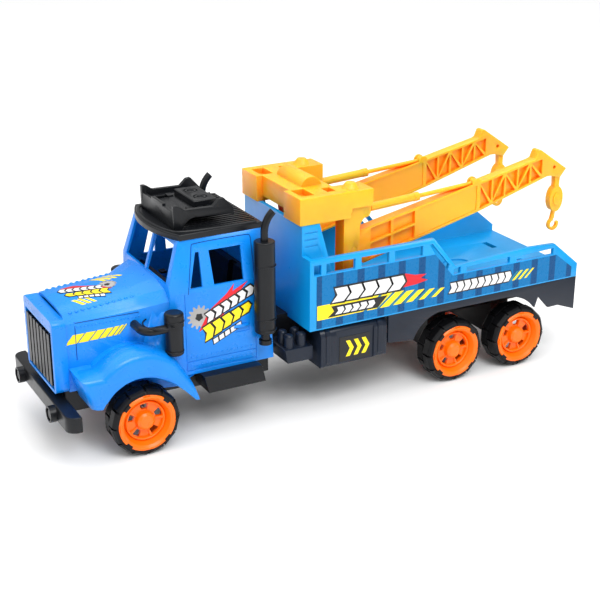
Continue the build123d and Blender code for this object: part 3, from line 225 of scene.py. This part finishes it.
ink = {
    "yellow": plastic("ink_yellow", (1.0, 0.78, 0.01), 0.30, contrast=0.08),
    "teal": plastic("ink_teal", (0.005, 0.20, 0.30), 0.30),
    "red": plastic("ink_red", (0.72, 0.008, 0.02), 0.30, contrast=0.25),
    "white": plastic("ink_white", (0.80, 0.80, 0.80), 0.30, contrast=0.08),
    "black": plastic("ink_black", (0.01, 0.01, 0.01), 0.32),
    "grey": plastic("ink_grey", (0.42, 0.41, 0.40), 0.32, contrast=0.30),
}

finish_by_slot = {
    "cab_blue_plastic": blue_cab,
    "bed_blue_plastic": blue_bed,
    "crane_yellow_plastic": crane,
    "orange_plastic": orange,
    "black_plastic": black,
    "slate_plastic": slate,
    "tyre_plastic": tread,
    "steel": metal,
    "printed_sticker": ink["yellow"],
}
record_slots = {s["node"]: s["material_slot"] for s in frame["record"]["subparts"]}
node_body = {n: b for b, nodes in frame["record"]["behaviour"]["bodies"].items() for n in nodes}
for node, shown in frame["nodes"].items():
    shown.data.materials.clear()
    shown.data.materials.append(finish_by_slot[record_slots[node]])


# ---------------------------------------------------------------- making pieces
# Where rays start, well outside the truck, and where a point goes if its ray misses
SIDE_START, SIDE_MISS = 90, 52
TOP_START, TOP_MISS = 230, 124
FAR_SIDE = 120
skins = {}


def skin_of(node):
    """A CAD node's surface, ready for ray casts."""
    if node not in skins:
        shown = frame["nodes"][node]
        vertices = [shown.matrix_world @ v.co for v in shown.data.vertices]
        skins[node] = BVHTree.FromPolygons(vertices, [tuple(f.vertices) for f in shown.data.polygons])
    return skins[node]


def touch(node, start, direction, lift_mm):
    """The point where a ray meets a CAD node, raised off its surface."""
    place, normal, _, _ = skin_of(node).ray_cast(start, direction)
    if place is None:
        return None
    if normal.dot(direction) > 0:
        normal = -normal
    return place + normal * lift_mm * MM


def draped_side(node, sign):
    """Places (forward, up) points on the side of a node."""
    def place(forward, up, lift):
        hit = touch(node, at(forward, sign * SIDE_START, up), Vector((0, -sign, 0)), lift)
        return hit or at(forward, sign * SIDE_MISS, up)
    return place


def draped_top(node):
    """Places (forward, left) points on the top of a node."""
    def place(forward, left, lift):
        hit = touch(node, at(forward, left, TOP_START), Vector((0, 0, -1)), lift)
        return hit or at(forward, left, TOP_MISS)
    return place


def add_piece(name, mesh, body, materials):
    piece = bpy.data.objects.new(name, mesh)
    bpy.context.scene.collection.objects.link(piece)
    for material in materials:
        piece.data.materials.append(material)
    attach(piece, body)
    return piece


def finish_mesh(shape, name, body, material, bevel_mm=0.0, smooth=False):
    """Turns a bmesh into a piece, with its sharp edges bevelled where a width is given."""
    bmesh.ops.recalc_face_normals(shape, faces=shape.faces)
    mesh = bpy.data.meshes.new(name)
    shape.to_mesh(mesh)
    shape.free()
    for face in mesh.polygons:
        face.use_smooth = smooth
    piece = add_piece(name, mesh, body, [material])
    if bevel_mm:
        bevel = piece.modifiers.new("edges", "BEVEL")
        bevel.width = bevel_mm * MM
        bevel.segments = 2
        bevel.limit_method = "ANGLE"
        bevel.angle_limit = math.radians(28)
    return piece


def soften(node, width_mm):
    """A copy of a CAD node with its moulded edges rounded, standing for that node."""
    mesh = frame["nodes"][node].data.copy()
    shape = bmesh.new()
    shape.from_mesh(mesh)
    bmesh.ops.remove_doubles(shape, verts=shape.verts, dist=0.00001)
    bmesh.ops.dissolve_limit(shape, angle_limit=math.radians(1.0), verts=shape.verts, edges=shape.edges)
    shape.to_mesh(mesh)
    shape.free()
    for face in mesh.polygons:
        face.use_smooth = True
    piece = bpy.data.objects.new(node + ".soft", mesh)
    bpy.context.scene.collection.objects.link(piece)
    bevel = piece.modifiers.new("edges", "BEVEL")
    bevel.width = width_mm * MM
    bevel.segments = 2
    bevel.limit_method = "ANGLE"
    bevel.angle_limit = math.radians(32)
    bevel.use_clamp_overlap = True
    bevel.harden_normals = True
    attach(piece, node_body[node])
    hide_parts(node)


# Width of each rounded edge, in millimetres
soft_edges = {
    "cab_body": 0.7, "bed_body": 0.5, "mast_head": 0.9, "front_bumper": 0.8, "roof_panel": 0.4,
    "roof_rack": 0.5, "roof_light_box": 0.5,
}
for side in SIDES:
    for stem, width in (
        ("swing_post", 0.5), ("boom", 0.35), ("side_step", 0.6), ("fuel_tank", 0.6),
        ("battery_box", 0.4), ("rear_skirt", 0.4), ("hook", 0.4),
    ):
        soft_edges[f"{stem}_{side}"] = width
for node, width in soft_edges.items():
    soften(node, width)


def prism(shape, outline, place, thickness, index):
    """Adds a flat printed shape: outline points are (across, up), place turns them into space."""
    bottom = [shape.verts.new(place(a, b, 0)) for a, b in outline]
    top = [shape.verts.new(place(a, b, thickness)) for a, b in outline]
    faces = [shape.faces.new(top), shape.faces.new(bottom[::-1])]
    for i, low in enumerate(bottom):
        j = (i + 1) % len(bottom)
        faces.append(shape.faces.new((low, bottom[j], top[j], top[i])))
    for face in faces:
        face.material_index = index


LAYER_MM = 0.07
CURVED_LIFT_MM = 0.12


def flat(a, b, lift):
    return Vector((a, b, lift))


def printed(name, layers, place, curved=False):
    """Printed shapes in one piece; each layer is (ink, outlines) and lies a little above the last."""
    shape = bmesh.new()
    names = []
    for number, (colour, outlines) in enumerate(layers):
        names.append(colour)
        for outline in outlines:
            prism(shape, outline, flat, LAYER_MM * (number + 1), number)
    if curved:
        bmesh.ops.triangulate(shape, faces=shape.faces)
        bmesh.ops.subdivide_edges(shape, edges=shape.edges, cuts=2, use_grid_fill=True)
    base = CURVED_LIFT_MM if curved else 0.0
    for vertex in shape.verts:
        vertex.co = place(vertex.co.x, vertex.co.y, vertex.co.z + base)
    bmesh.ops.recalc_face_normals(shape, faces=shape.faces)
    mesh = bpy.data.meshes.new(name)
    shape.to_mesh(mesh)
    shape.free()
    return add_piece(name, mesh, "root", [ink[c] for c in names])


def on_side(sign, face_y):
    """Places (forward, up) points on a flat side."""
    return lambda forward, up, lift: at(forward, sign * (face_y + lift), up)


def slash(forward, up, width, height, lean):
    """A slanted bar, leaning rearward as it rises."""
    top = up + height
    return [(forward, up), (forward - width, up), (forward - width - lean, top), (forward - lean, top)]


def grown(outline, by):
    """An outline pushed out from its centre, for a printed border."""
    centre_a = sum(p[0] for p in outline) / len(outline)
    centre_b = sum(p[1] for p in outline) / len(outline)
    out = []
    for a, b in outline:
        away = math.hypot(a - centre_a, b - centre_b) or 1.0
        out.append((a + by * (a - centre_a) / away, b + by * (b - centre_b) / away))
    return out


def gear(centre, inner, outer, teeth):
    points = []
    for i in range(teeth * 4):
        angle = math.tau * i / (teeth * 4)
        radius = outer if i % 4 < 2 else inner
        points.append((centre[0] + radius * math.cos(angle), centre[1] + radius * math.sin(angle)))
    return points


def turned(outlines, pivot, degrees):
    cosine = math.cos(math.radians(degrees))
    sine = math.sin(math.radians(degrees))

    def spun(a, b):
        across = a - pivot[0]
        up = b - pivot[1]
        return pivot[0] + across * cosine - up * sine, pivot[1] + across * sine + up * cosine

    return [[spun(a, b) for a, b in outline] for outline in outlines]


def chevron(x, z, width, height, lean, point):
    """A slanted arrow bar, pointing rearward."""
    middle = z + height * 0.5
    top = z + height
    return [
        (x, z), (x - width, z), (x - width - lean * 0.5 - point, middle),
        (x - width - lean, top), (x - lean, top), (x - lean * 0.5 - point, middle),
    ]


def emblem(centre, size, lean):
    """A made-up badge: a gear, a red sweep, white bars and yellow black-edged blades.

    Offsets are in millimetres from its centre, before it is scaled by size and turned by lean degrees.
    """
    x, z = centre
    bars = [chevron(x + 12 - 8.2 * i, z + 2.0, 5.8, 8.2, 1.6, 2.6) for i in range(6)]
    blades = [chevron(x + 21 - 9.6 * i, z - 12.5 + 0.4 * i, 7.4, 12.6 - 1.1 * i, 3.4, 3.0) for i in range(5)]
    sweep = [
        (x + 22, z - 1), (x + 6, z + 11), (x - 14, z + 15.5), (x - 24, z + 20), (x - 20, z + 14.5),
        (x - 36, z + 15), (x - 24, z + 10), (x - 38, z + 7), (x - 20, z + 3), (x - 2, z),
    ]
    small = [slash(x + 15 - 6.0 * i, z - 19, 4.6, 4.0, 1.0) for i in range(5)]
    layers = [
        ("grey", [gear((x + 16, z + 11), 8.0, 10.8, 13)]),
        ("black", [gear((x + 16, z + 11), 3.0, 3.6, 5)]),
        ("red", [sweep]),
        ("black", [grown(o, 1.6) for o in bars + blades] + [grown(o, 1.1) for o in small]),
        ("yellow", blades),
        ("white", bars + small),
    ]
    out = []
    for colour, outlines in layers:
        scaled = [[(x + (a - x) * size, z + (b - z) * size) for a, b in outline] for outline in outlines]
        out.append((colour, turned(scaled, centre, lean)))
    return out


# ---------------------------------------------------------------- printed shapes
# The door print stands for the door sticker, so it starts below that sticker's face
DOOR_SINK_MM = 0.25


def outer_y(node):
    """How far a node reaches from the truck's middle plane, in millimetres."""
    low, high = part_mm(node)
    return max(abs(low.y), abs(high.y))


for side, sign in SIDES.items():
    door_y = outer_y(f"door_sticker_{side}") - DOOR_SINK_MM
    door = printed(f"door_print_{side}", emblem((-74, 104), 0.98, -24), on_side(sign, door_y))
    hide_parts(f"door_sticker_{side}")

    frame["nodes"][f"bed_sticker_{side}"].data.materials[0] = film_blue
    band_low, band_high = 90.2, 103.5
    wide = [[(-157.5, band_low), (-203, band_low), (-222, band_high), (-157.5, band_high)]]
    stripes, teal = [], []
    for i in range(6):
        height, lean = 13.3 - 1.2 * i, 17 - 1.5 * i
        stripes.append(slash(-207 - 13.5 * i, band_low, 10.2 - 1.1 * i, height, lean))
        teal.append(slash(-203.5 - 13.5 * i, band_low, 3.0, height, lean))
    tail = [slash(-364 - 7 * i, band_low, 4.4 - i, 8.6, 9) for i in range(3)]
    teal += [slash(-360 - 7 * i, band_low, 2.4, 8.6, 9) for i in range(3)]
    bars = [chevron(-171.5 - 14.2 * i, 104.2, 12.0, 12.6, 3, 4.2) for i in range(5)]
    arrow = [[(-236, 105), (-246, 118), (-256, 115), (-268, 114), (-262, 111), (-270, 108), (-258, 106)]]
    low_bars = [chevron(-175 - 7.8 * i, 92.8, 6.0, 6.4, 1.8, 2.2) for i in range(5)]
    plate = [[(-168, 91.2), (-218, 91.2), (-228, 101), (-171, 101), (-174, 96)]]
    tail_bars = [chevron(-293 - 7.6 * i, 90.6, 6.0, 9.4, 1.4, 2.4) for i in range(9)]
    printed(
        f"bed_print_{side}",
        [
            ("yellow", wide + stripes + tail),
            ("teal", teal),
            ("red", arrow),
            ("black", [grown(o, 2.2) for o in bars] + [grown(o, 1.3) for o in tail_bars] + plate),
            ("white", bars + low_bars + tail_bars),
        ],
        on_side(sign, outer_y(f"bed_sticker_{side}")),
    )

    tank_low, tank_high = part_mm(f"tank_sticker_{side}")
    frame["nodes"][f"tank_sticker_{side}"].data.materials[0] = ink["black"]
    middle = (tank_low.x + tank_high.x) / 2
    chevrons = [
        [(middle + 9 - 8 * i, 50), (middle + 5 - 8 * i, 50), (middle + 1 - 8 * i, 57.5),
         (middle + 5 - 8 * i, 65), (middle + 9 - 8 * i, 65), (middle + 5 - 8 * i, 57.5)]
        for i in range(3)
    ]
    tank_side = on_side(sign, outer_y(f"tank_sticker_{side}"))
    printed(f"tank_print_{side}", [("yellow", chevrons)], tank_side)

    # Slashes on the hood's side, thinning rearward
    cuts, edges = [], []
    forward = 55.0
    for i in range(7):
        width = 9.6 - 1.4 * i
        cuts.append(slash(forward, 98.5 + 0.25 * i, width, 7.8, 7.0))
        edges.append(slash(forward - width, 98.5 + 0.25 * i, 0.8, 7.8, 7.0))
        forward -= width + 1.3
    printed(
        f"hood_side_print_{side}", [("yellow", cuts), ("teal", edges)],
        draped_side("cab_body", sign), curved=True,
    )

# Badge on the hood's top, with slanted bars in front of and behind it
badge = emblem((18, 2), 0.74, 158)
dashes = [slash(40 - 5.0 * i, 12, 3.4 - 0.4 * i, 11, 6) for i in range(3)]
dashes += [slash(12 - 5.0 * i, -23, 3.4 - 0.4 * i, 13, 8) for i in range(4)]
printed("hood_top_print", [("yellow", dashes)] + badge, draped_top("cab_body"), curved=True)


# ---------------------------------------------------------------- small moulded details
RIVET_FLATNESS = 0.55


def rivet_row(name, places, radius_mm):
    """Low domed rivets on the cab: places are (position, outward direction)."""
    shape = bmesh.new()
    for position, outward in places:
        turn = outward.to_track_quat("Z", "Y").to_matrix().to_4x4()
        turn.translation = position
        made = bmesh.ops.create_uvsphere(shape, u_segments=12, v_segments=6, radius=radius_mm * MM)
        for vertex in made["verts"]:
            vertex.co.z *= RIVET_FLATNESS
        bmesh.ops.transform(shape, matrix=turn, verts=made["verts"])
    mesh = bpy.data.meshes.new(name)
    shape.to_mesh(mesh)
    shape.free()
    for face in mesh.polygons:
        face.use_smooth = True
    add_piece(name, mesh, "root", [blue_cab])


def steps(start, end, count):
    """Evenly spaced values from start to end, both included."""
    return [start + (end - start) * i / (count - 1) for i in range(count)]


for side, sign in SIDES.items():
    outward = Vector((0, sign, 0))
    up = Vector((0, 0, 1))
    beside = draped_side("cab_body", sign)
    above = draped_top("cab_body")
    lower = [(beside(x, z, 0.05), outward) for z in (64.8, 72.6) for x in steps(-48, -103, 13)]
    rivet_row(f"door_rivets_{side}", lower, 0.85)
    high = [(beside(x, 112.5, 0.0), outward) for x in steps(44, -8, 18)]
    rivet_row(f"hood_side_rivets_{side}", high, 0.85)
    bead = [(above(x, sign * 29.5, 0.0), up) for x in steps(47, -6, 11)]
    rivet_row(f"hood_top_rivets_{side}", bead, 1.7)


def tube(name, points, radius_mm, material, body="root"):
    """A round bar along a smooth line."""
    curve = bpy.data.curves.new(name, "CURVE")
    curve.dimensions = "3D"
    curve.bevel_depth = radius_mm * MM
    curve.bevel_resolution = 4
    curve.use_fill_caps = True
    spline = curve.splines.new("NURBS")
    spline.points.add(len(points) - 1)
    for point, place in zip(spline.points, points):
        point.co = (*place, 1)
    spline.order_u = 3
    spline.use_endpoint_u = True
    piece = bpy.data.objects.new(name, curve)
    bpy.context.scene.collection.objects.link(piece)
    piece.data.materials.append(material)
    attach(piece, body)


def ring_points(centre, radius_mm, count=28):
    """A level ring, closed by repeating its first point."""
    out = []
    for i in range(count + 1):
        angle = math.tau * i / count
        out.append(centre + Vector((math.cos(angle), math.sin(angle), 0)) * radius_mm * MM)
    return out


BAND_SHARES = {"air_cleaner": (0.10, 0.72, 0.80), "exhaust_stack": (0.12, 0.20, 0.60)}
BAND_PROUD_MM = 0.3
BAND_DEPTH_MM = 9
SEAM_MM = 0.35


def band_ring(node, sign, share):
    """A ring round an upright pipe, at a share of its height, sized by rays cast at its outer side."""
    low, high = part_mm(node)
    z = low.z + (high.z - low.z) * share
    innermost = outer_y(node) - BAND_DEPTH_MM
    hits = []
    for lane in steps(low.x + 1, high.x - 1, 40):
        hit = skin_of(node).ray_cast(at(lane, sign * FAR_SIDE, z), Vector((0, -sign, 0)))[0]
        if hit and abs(hit.y) / MM > innermost:
            hits.append(hit)
    nearest = min(h.x for h in hits)
    farthest = max(h.x for h in hits)
    pipe = (farthest - nearest) / 2 / MM
    radius = pipe + BAND_PROUD_MM
    widest = max(abs(h.y) for h in hits)
    centre = Vector(((nearest + farthest) / 2, sign * (widest - (radius - BAND_PROUD_MM) * MM), z * MM))
    return ring_points(centre, radius)


# Raised rim round the roof's visor
rim_z = part_mm("roof_panel")[0].z + 5.0
visor = ((-112, 46), (-46, 46.5), (-36, 30), (-33, 0), (-36, -30), (-46, -46.5), (-112, -46))
tube("roof_visor_rim", [at(x, y, rim_z) for x, y in visor], 1.5, black)

for side, sign in SIDES.items():
    beside = draped_side("cab_body", sign)
    # Engraved lines round the nose, along the hood's crease and round the door's window frame, drawn as thin
    # dark blue tubes: painted shade in the grooves
    nose = [beside(46, z, 0.0) for z in steps(84, 117, 7)]
    tube(f"nose_groove_shade_{side}", nose, SEAM_MM, groove_shade_blue)
    crease = [beside(x, 116.2, 0.0) for x in steps(46, -8, 9)]
    tube(f"hood_groove_shade_{side}", crease, SEAM_MM, groove_shade_blue)
    window = [
        (-46.5, 129), (-51.5, 164), (-52, 169.5), (-53, 170.5), (-78, 171),
        (-103, 171), (-105, 170), (-105.6, 166), (-107, 129),
    ]
    window_line = [beside(x, z, 0.0) for x, z in window]
    tube(f"door_frame_groove_shade_{side}", window_line, SEAM_MM, groove_shade_blue)
    grip = [beside(-87, 92.5, 0.2), beside(-89, 92.5, 1.6), beside(-98, 92.5, 1.6), beside(-100, 92.5, 0.2)]
    tube(f"door_handle_{side}", grip, 1.5, blue_cab)

    # Raised bands on the air cleaner and the exhaust stack
    for stem, shares in BAND_SHARES.items():
        for number, share in enumerate(shares):
            band = band_ring(f"{stem}_{side}", sign, share)
            tube(f"{stem}_band_{number}_{side}", band, 0.7, black)


# Fenders: a rounded crown laid over each arch, swept by angle from the front foot to the rear one
CROWN_STEPS = 40
CROWN_LANES = 12
CROWN_SWELL_MM = 2.6
CROWN_SINK_MM = 0.25


def fender_crown(side, sign):
    shape = bmesh.new()
    grid = []
    for i in range(CROWN_STEPS + 1):
        angle = math.radians(24 + 138 * i / CROWN_STEPS)
        ray = Vector((math.cos(angle), 0, math.sin(angle)))
        taper = math.sin(math.pi * i / CROWN_STEPS) ** 0.4
        row = []
        for j in range(CROWN_LANES + 1):
            across = 43.5 + 23.0 * j / CROWN_LANES
            start = at(0, sign * across, 40) + ray * 0.09
            place = skin_of("cab_body").ray_cast(start, -ray)[0]
            swell = CROWN_SWELL_MM * (1 - ((j - 6) / 6) ** 2) * taper - CROWN_SINK_MM
            row.append(shape.verts.new(place + ray * swell * MM) if place else None)
        grid.append(row)
    for row, following in zip(grid, grid[1:]):
        for j in range(CROWN_LANES):
            corners = [row[j], row[j + 1], following[j + 1], following[j]]
            if all(corners):
                shape.faces.new(corners)
    inside = [v for v in shape.verts if not v.is_boundary]
    bmesh.ops.smooth_vert(
        shape, verts=inside, factor=0.5, use_axis_x=True, use_axis_y=True, use_axis_z=True,
    )
    finish_mesh(shape, f"fender_crown_{side}", "root", blue_cab, smooth=True)


for side, sign in SIDES.items():
    fender_crown(side, sign)


# A thick rounded lip along the edge of each wheel arch
arch_edge = (
    (34.6, 55.5), (28.5, 64.0), (14.7, 71.9), (-4.3, 72.6), (-21.4, 64.8), (-34.0, 54.6), (-43.5, 45.6),
)
for side, sign in SIDES.items():
    lip = [at(x, sign * 65.6, z) for x, z in arch_edge]
    tube(f"fender_lip_{side}", lip, 2.3, blue_cab)


# ---------------------------------------------------------------- wheels
def lathe_ring(shape, profile, turn, steps_round=72):
    """A closed profile of (along axle, radius) turned round the axle."""
    rings = []
    for i in range(steps_round):
        angle = math.tau * i / steps_round
        rings.append([shape.verts.new(turn(a, r, angle)) for a, r in profile])
    for i in range(steps_round):
        here, there = rings[i], rings[(i + 1) % steps_round]
        for j in range(len(profile)):
            k = (j + 1) % len(profile)
            shape.faces.new((here[j], here[k], there[k], there[j]))


def sector_block(shape, profile, turn, start, end, segments):
    """A closed profile swept through part of a turn, with closed ends."""
    slices = []
    for i in range(segments + 1):
        angle = start + (end - start) * i / segments
        slices.append([shape.verts.new(turn(a, r, angle)) for a, r in profile])
    for here, there in zip(slices, slices[1:]):
        for j in range(len(profile)):
            k = (j + 1) % len(profile)
            shape.faces.new((here[j], here[k], there[k], there[j]))
    shape.faces.new(slices[0][::-1])
    shape.faces.new(slices[-1])


BLOCKS = 12
EDGE_KEYS = 4
RIBS = 5


def about_axle(node, sign):
    """Turns (depth from the tyre's outer face, radius, angle) into a place in space."""
    low, high = part_mm(node)
    middle_x = (low.x + high.x) / 2
    middle_z = (low.z + high.z) / 2
    face_y = outer_y(node)

    def turn(depth, radius, angle):
        forward = middle_x + radius * math.cos(angle)
        return at(forward, sign * (face_y - depth), middle_z + radius * math.sin(angle))
    return turn


def tyre_blocks(axle, side, sign):
    """A tyre with two staggered rows of blocks, and four keys that notch the rim's edge."""
    node = f"tyre_{axle}_{side}"
    low, high = part_mm(node)
    width = high.y - low.y
    turn = about_axle(node, sign)
    shape = bmesh.new()
    carcass = [
        (0.6, 25.0), (0.2, 26.0), (1.6, 27.6), (4.0, 28.3), (width / 2, 28.5), (width - 4.0, 28.3),
        (width - 1.2, 27.4), (width - 0.2, 25.0), (width - 0.2, 22.7), (width - 6.0, 22.6),
        (3.0, 22.6), (2.4, 24.9),
    ]
    lathe_ring(shape, carcass, turn)
    pitch = math.tau / BLOCKS
    outer = [(-0.1, 25.6), (0.5, 28.2), (3.4, 29.95), (11.6, 29.95), (11.6, 27.4), (2.6, 26.2)]
    inner = [(width - a, r) for a, r in outer]
    for i in range(BLOCKS):
        sector_block(shape, outer, turn, pitch * (i + 0.05), pitch * (i + 0.95), 1)
        sector_block(shape, inner, turn, pitch * (i + 0.55), pitch * (i + 1.45), 1)
    proud = outer_y(node) - outer_y(f"rim_{axle}_{side}") - 0.25
    key = [(proud, 25.6), (proud, 22.6), (1.6, 22.6), (1.6, 25.6)]
    for i in range(EDGE_KEYS):
        angle = math.tau * (i + 0.5) / EDGE_KEYS
        sector_block(shape, key, turn, angle - 0.13, angle + 0.13, 3)
    body = f"{axle}_wheels"
    tyre = finish_mesh(shape, f"tyre_blocks_{axle}_{side}", body, tread, 0.35)
    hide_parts(node)


def rim_trim(axle, side, sign):
    """A raised ring in the rim's dish, five ribs and a domed hub cap."""
    node = f"tyre_{axle}_{side}"
    turn = about_axle(node, sign)
    shape = bmesh.new()
    ring = [(5.6, 17.6), (4.4, 16.9), (4.4, 15.9), (5.6, 15.2), (8.3, 15.2), (8.3, 17.6)]
    lathe_ring(shape, ring, turn)
    rib = [(5.4, 15.6), (6.6, 6.0), (8.4, 6.0), (8.4, 15.6)]
    for i in range(RIBS):
        angle = math.tau * (i + 0.5) / RIBS
        sector_block(shape, rib, turn, angle - 0.07, angle + 0.07, 1)
    tip = min(outer_y(node) - outer_y(f"axle_{axle}"), 8.0) - 0.7
    cap = [(8.3, 0.05), (tip, 0.05), (tip + 0.2, 2.4), (tip + 0.9, 4.4), (tip + 2.0, 6.2), (8.4, 7.2)]
    lathe_ring(shape, cap, turn, 40)
    finish_mesh(shape, f"rim_trim_{axle}_{side}", f"{axle}_wheels", orange, 0.25)


for axle in ("front", "middle", "rear"):
    for side, sign in SIDES.items():
        tyre_blocks(axle, side, sign)
        rim_trim(axle, side, sign)


# ---------------------------------------------------------------- post ribs
RIB_FOOT_Z = 112
rib_top_z = part_mm("mast_head")[0].z - 4
for side, sign in SIDES.items():
    for number, x in enumerate((-196.0, -201.5, -207.0)):
        path = []
        for z in steps(rib_top_z, RIB_FOOT_Z, 6):
            hit = touch(f"swing_post_{side}", at(x, sign * FAR_SIDE, z), Vector((0, -sign, 0)), 0.2)
            if hit:
                path.append(hit)
        tube(f"post_rib_{number}_{side}", path, 0.8, crane, f"{side}_post")


# ---------------------------------------------------------------- roof rack relief
def small_block(shape, centre, size_mm):
    made = bmesh.ops.create_cube(shape, size=1.0)
    grow = Matrix.Diagonal((*(v * MM for v in size_mm), 1.0))
    bmesh.ops.transform(shape, matrix=Matrix.Translation(centre) @ grow, verts=made["verts"])


rack_low, rack_high = part_mm("roof_rack")
shape = bmesh.new()
rack_top = draped_top("roof_rack")
for x in steps(rack_low.x + 16, rack_high.x - 12, 4):
    for y in (-22, 22):
        small_block(shape, rack_top(x, y, 0.5), (5.5, 7.0, 2.2))
for side, sign in SIDES.items():
    for x in steps(rack_low.x + 12, rack_high.x - 14, 6):
        wing = touch("roof_rack", at(x, sign * FAR_SIDE, rack_low.z + 6), Vector((0, -sign, 0)), 0.3)
        if wing:
            small_block(shape, wing, (1.6, 1.4, 8.0))
finish_mesh(shape, "roof_rack_relief", "root", black, 0.5)


# ---------------------------------------------------------------- fuel tank straps
STRAP_HALF_MM = 2.2
for side, sign in SIDES.items():
    low, high = part_mm(f"fuel_tank_{side}")
    face_y = outer_y(f"fuel_tank_{side}")
    shape = bmesh.new()
    for x in (low.x + 7, high.x - 7):
        outline = [
            (face_y - 14, high.z + 0.1), (face_y - 6, high.z + 0.6), (face_y - 0.6, high.z - 2.4),
            (face_y + 0.8, high.z - 6), (face_y + 0.8, low.z + 5), (face_y - 0.8, low.z + 1.0),
            (face_y - 2.4, low.z + 1.6), (face_y - 0.6, low.z + 6), (face_y - 0.6, high.z - 7),
            (face_y - 3, high.z - 3), (face_y - 14, high.z - 1.2),
        ]
        near = [shape.verts.new(at(x - STRAP_HALF_MM, sign * y, z)) for y, z in outline]
        far = [shape.verts.new(at(x + STRAP_HALF_MM, sign * y, z)) for y, z in outline]
        shape.faces.new(near)
        shape.faces.new(far[::-1])
        for i in range(len(outline)):
            j = (i + 1) % len(outline)
            shape.faces.new((near[i], near[j], far[j], far[i]))
    finish_mesh(shape, f"tank_straps_{side}", "root", slate, 0.4)


# ---------------------------------------------------------------- floor, light, camera
FLOOR_HALF_M = 6.0
WORLD_STRENGTH = 0.5


def floor_material():
    material, tree, shader = new_material("floor")
    noise = object_noise(tree, 3.0)
    tint = ramp(tree, noise.outputs["Fac"], (0.90, 0.90, 0.90, 1), (0.92, 0.92, 0.92, 1))
    link(tree, tint.outputs["Color"], shader.inputs["Base Color"])
    shader.inputs["Roughness"].default_value = 0.7
    return material


floor_shape = bmesh.new()
bmesh.ops.create_grid(floor_shape, x_segments=4, y_segments=4, size=FLOOR_HALF_M)
floor_mesh = bpy.data.meshes.new("floor")
floor_shape.to_mesh(floor_mesh)
floor_shape.free()
floor = bpy.data.objects.new("floor", floor_mesh)
floor.location.z = cad_box[0].z
floor.data.materials.append(floor_material())
bpy.context.scene.collection.objects.link(floor)

world = bpy.data.worlds.new("studio")
world.use_nodes = True
background = world.node_tree.nodes["Background"]
background.inputs["Color"].default_value = (1.0, 1.0, 1.0, 1)
background.inputs["Strength"].default_value = WORLD_STRENGTH
bpy.context.scene.world = world
bpy.context.scene.view_settings.view_transform = "Standard"


def softbox(name, place, target, size, power):
    """A square lamp, in metres and watts, aimed at a point."""
    light = bpy.data.lights.new(name, "AREA")
    light.size = size
    light.energy = power
    lamp = bpy.data.objects.new(name, light)
    lamp.location = place
    lamp.rotation_euler = (Vector(target) - Vector(place)).to_track_quat("-Z", "Y").to_euler()
    bpy.context.scene.collection.objects.link(lamp)


softbox("key", (0.1, 1.3, 1.5), (0, 0, 0.1), 1.0, 22)
softbox("front_fill", (1.6, 0.5, 0.8), (0, 0, 0.1), 1.0, 4)
softbox("ceiling", (0, -0.4, 3.0), (0, -0.4, 0), 6.0, 150)

# The camera was fitted to the photograph: it looks down by 21.5 degrees and is turned by 28.3 degrees
LOOK_DOWN = 0.3761
LOOK_TURN = 0.4939
lens = bpy.data.cameras.new("camera")
lens.lens = 76.12
lens.sensor_width = 36.0
camera = bpy.data.objects.new("camera", lens)
camera.location = (0.51398, 0.94581, 0.50563)
camera.rotation_euler = (math.pi / 2 - LOOK_DOWN, 0, math.pi - LOOK_TURN)
bpy.context.scene.collection.objects.link(camera)
bpy.context.scene.camera = camera
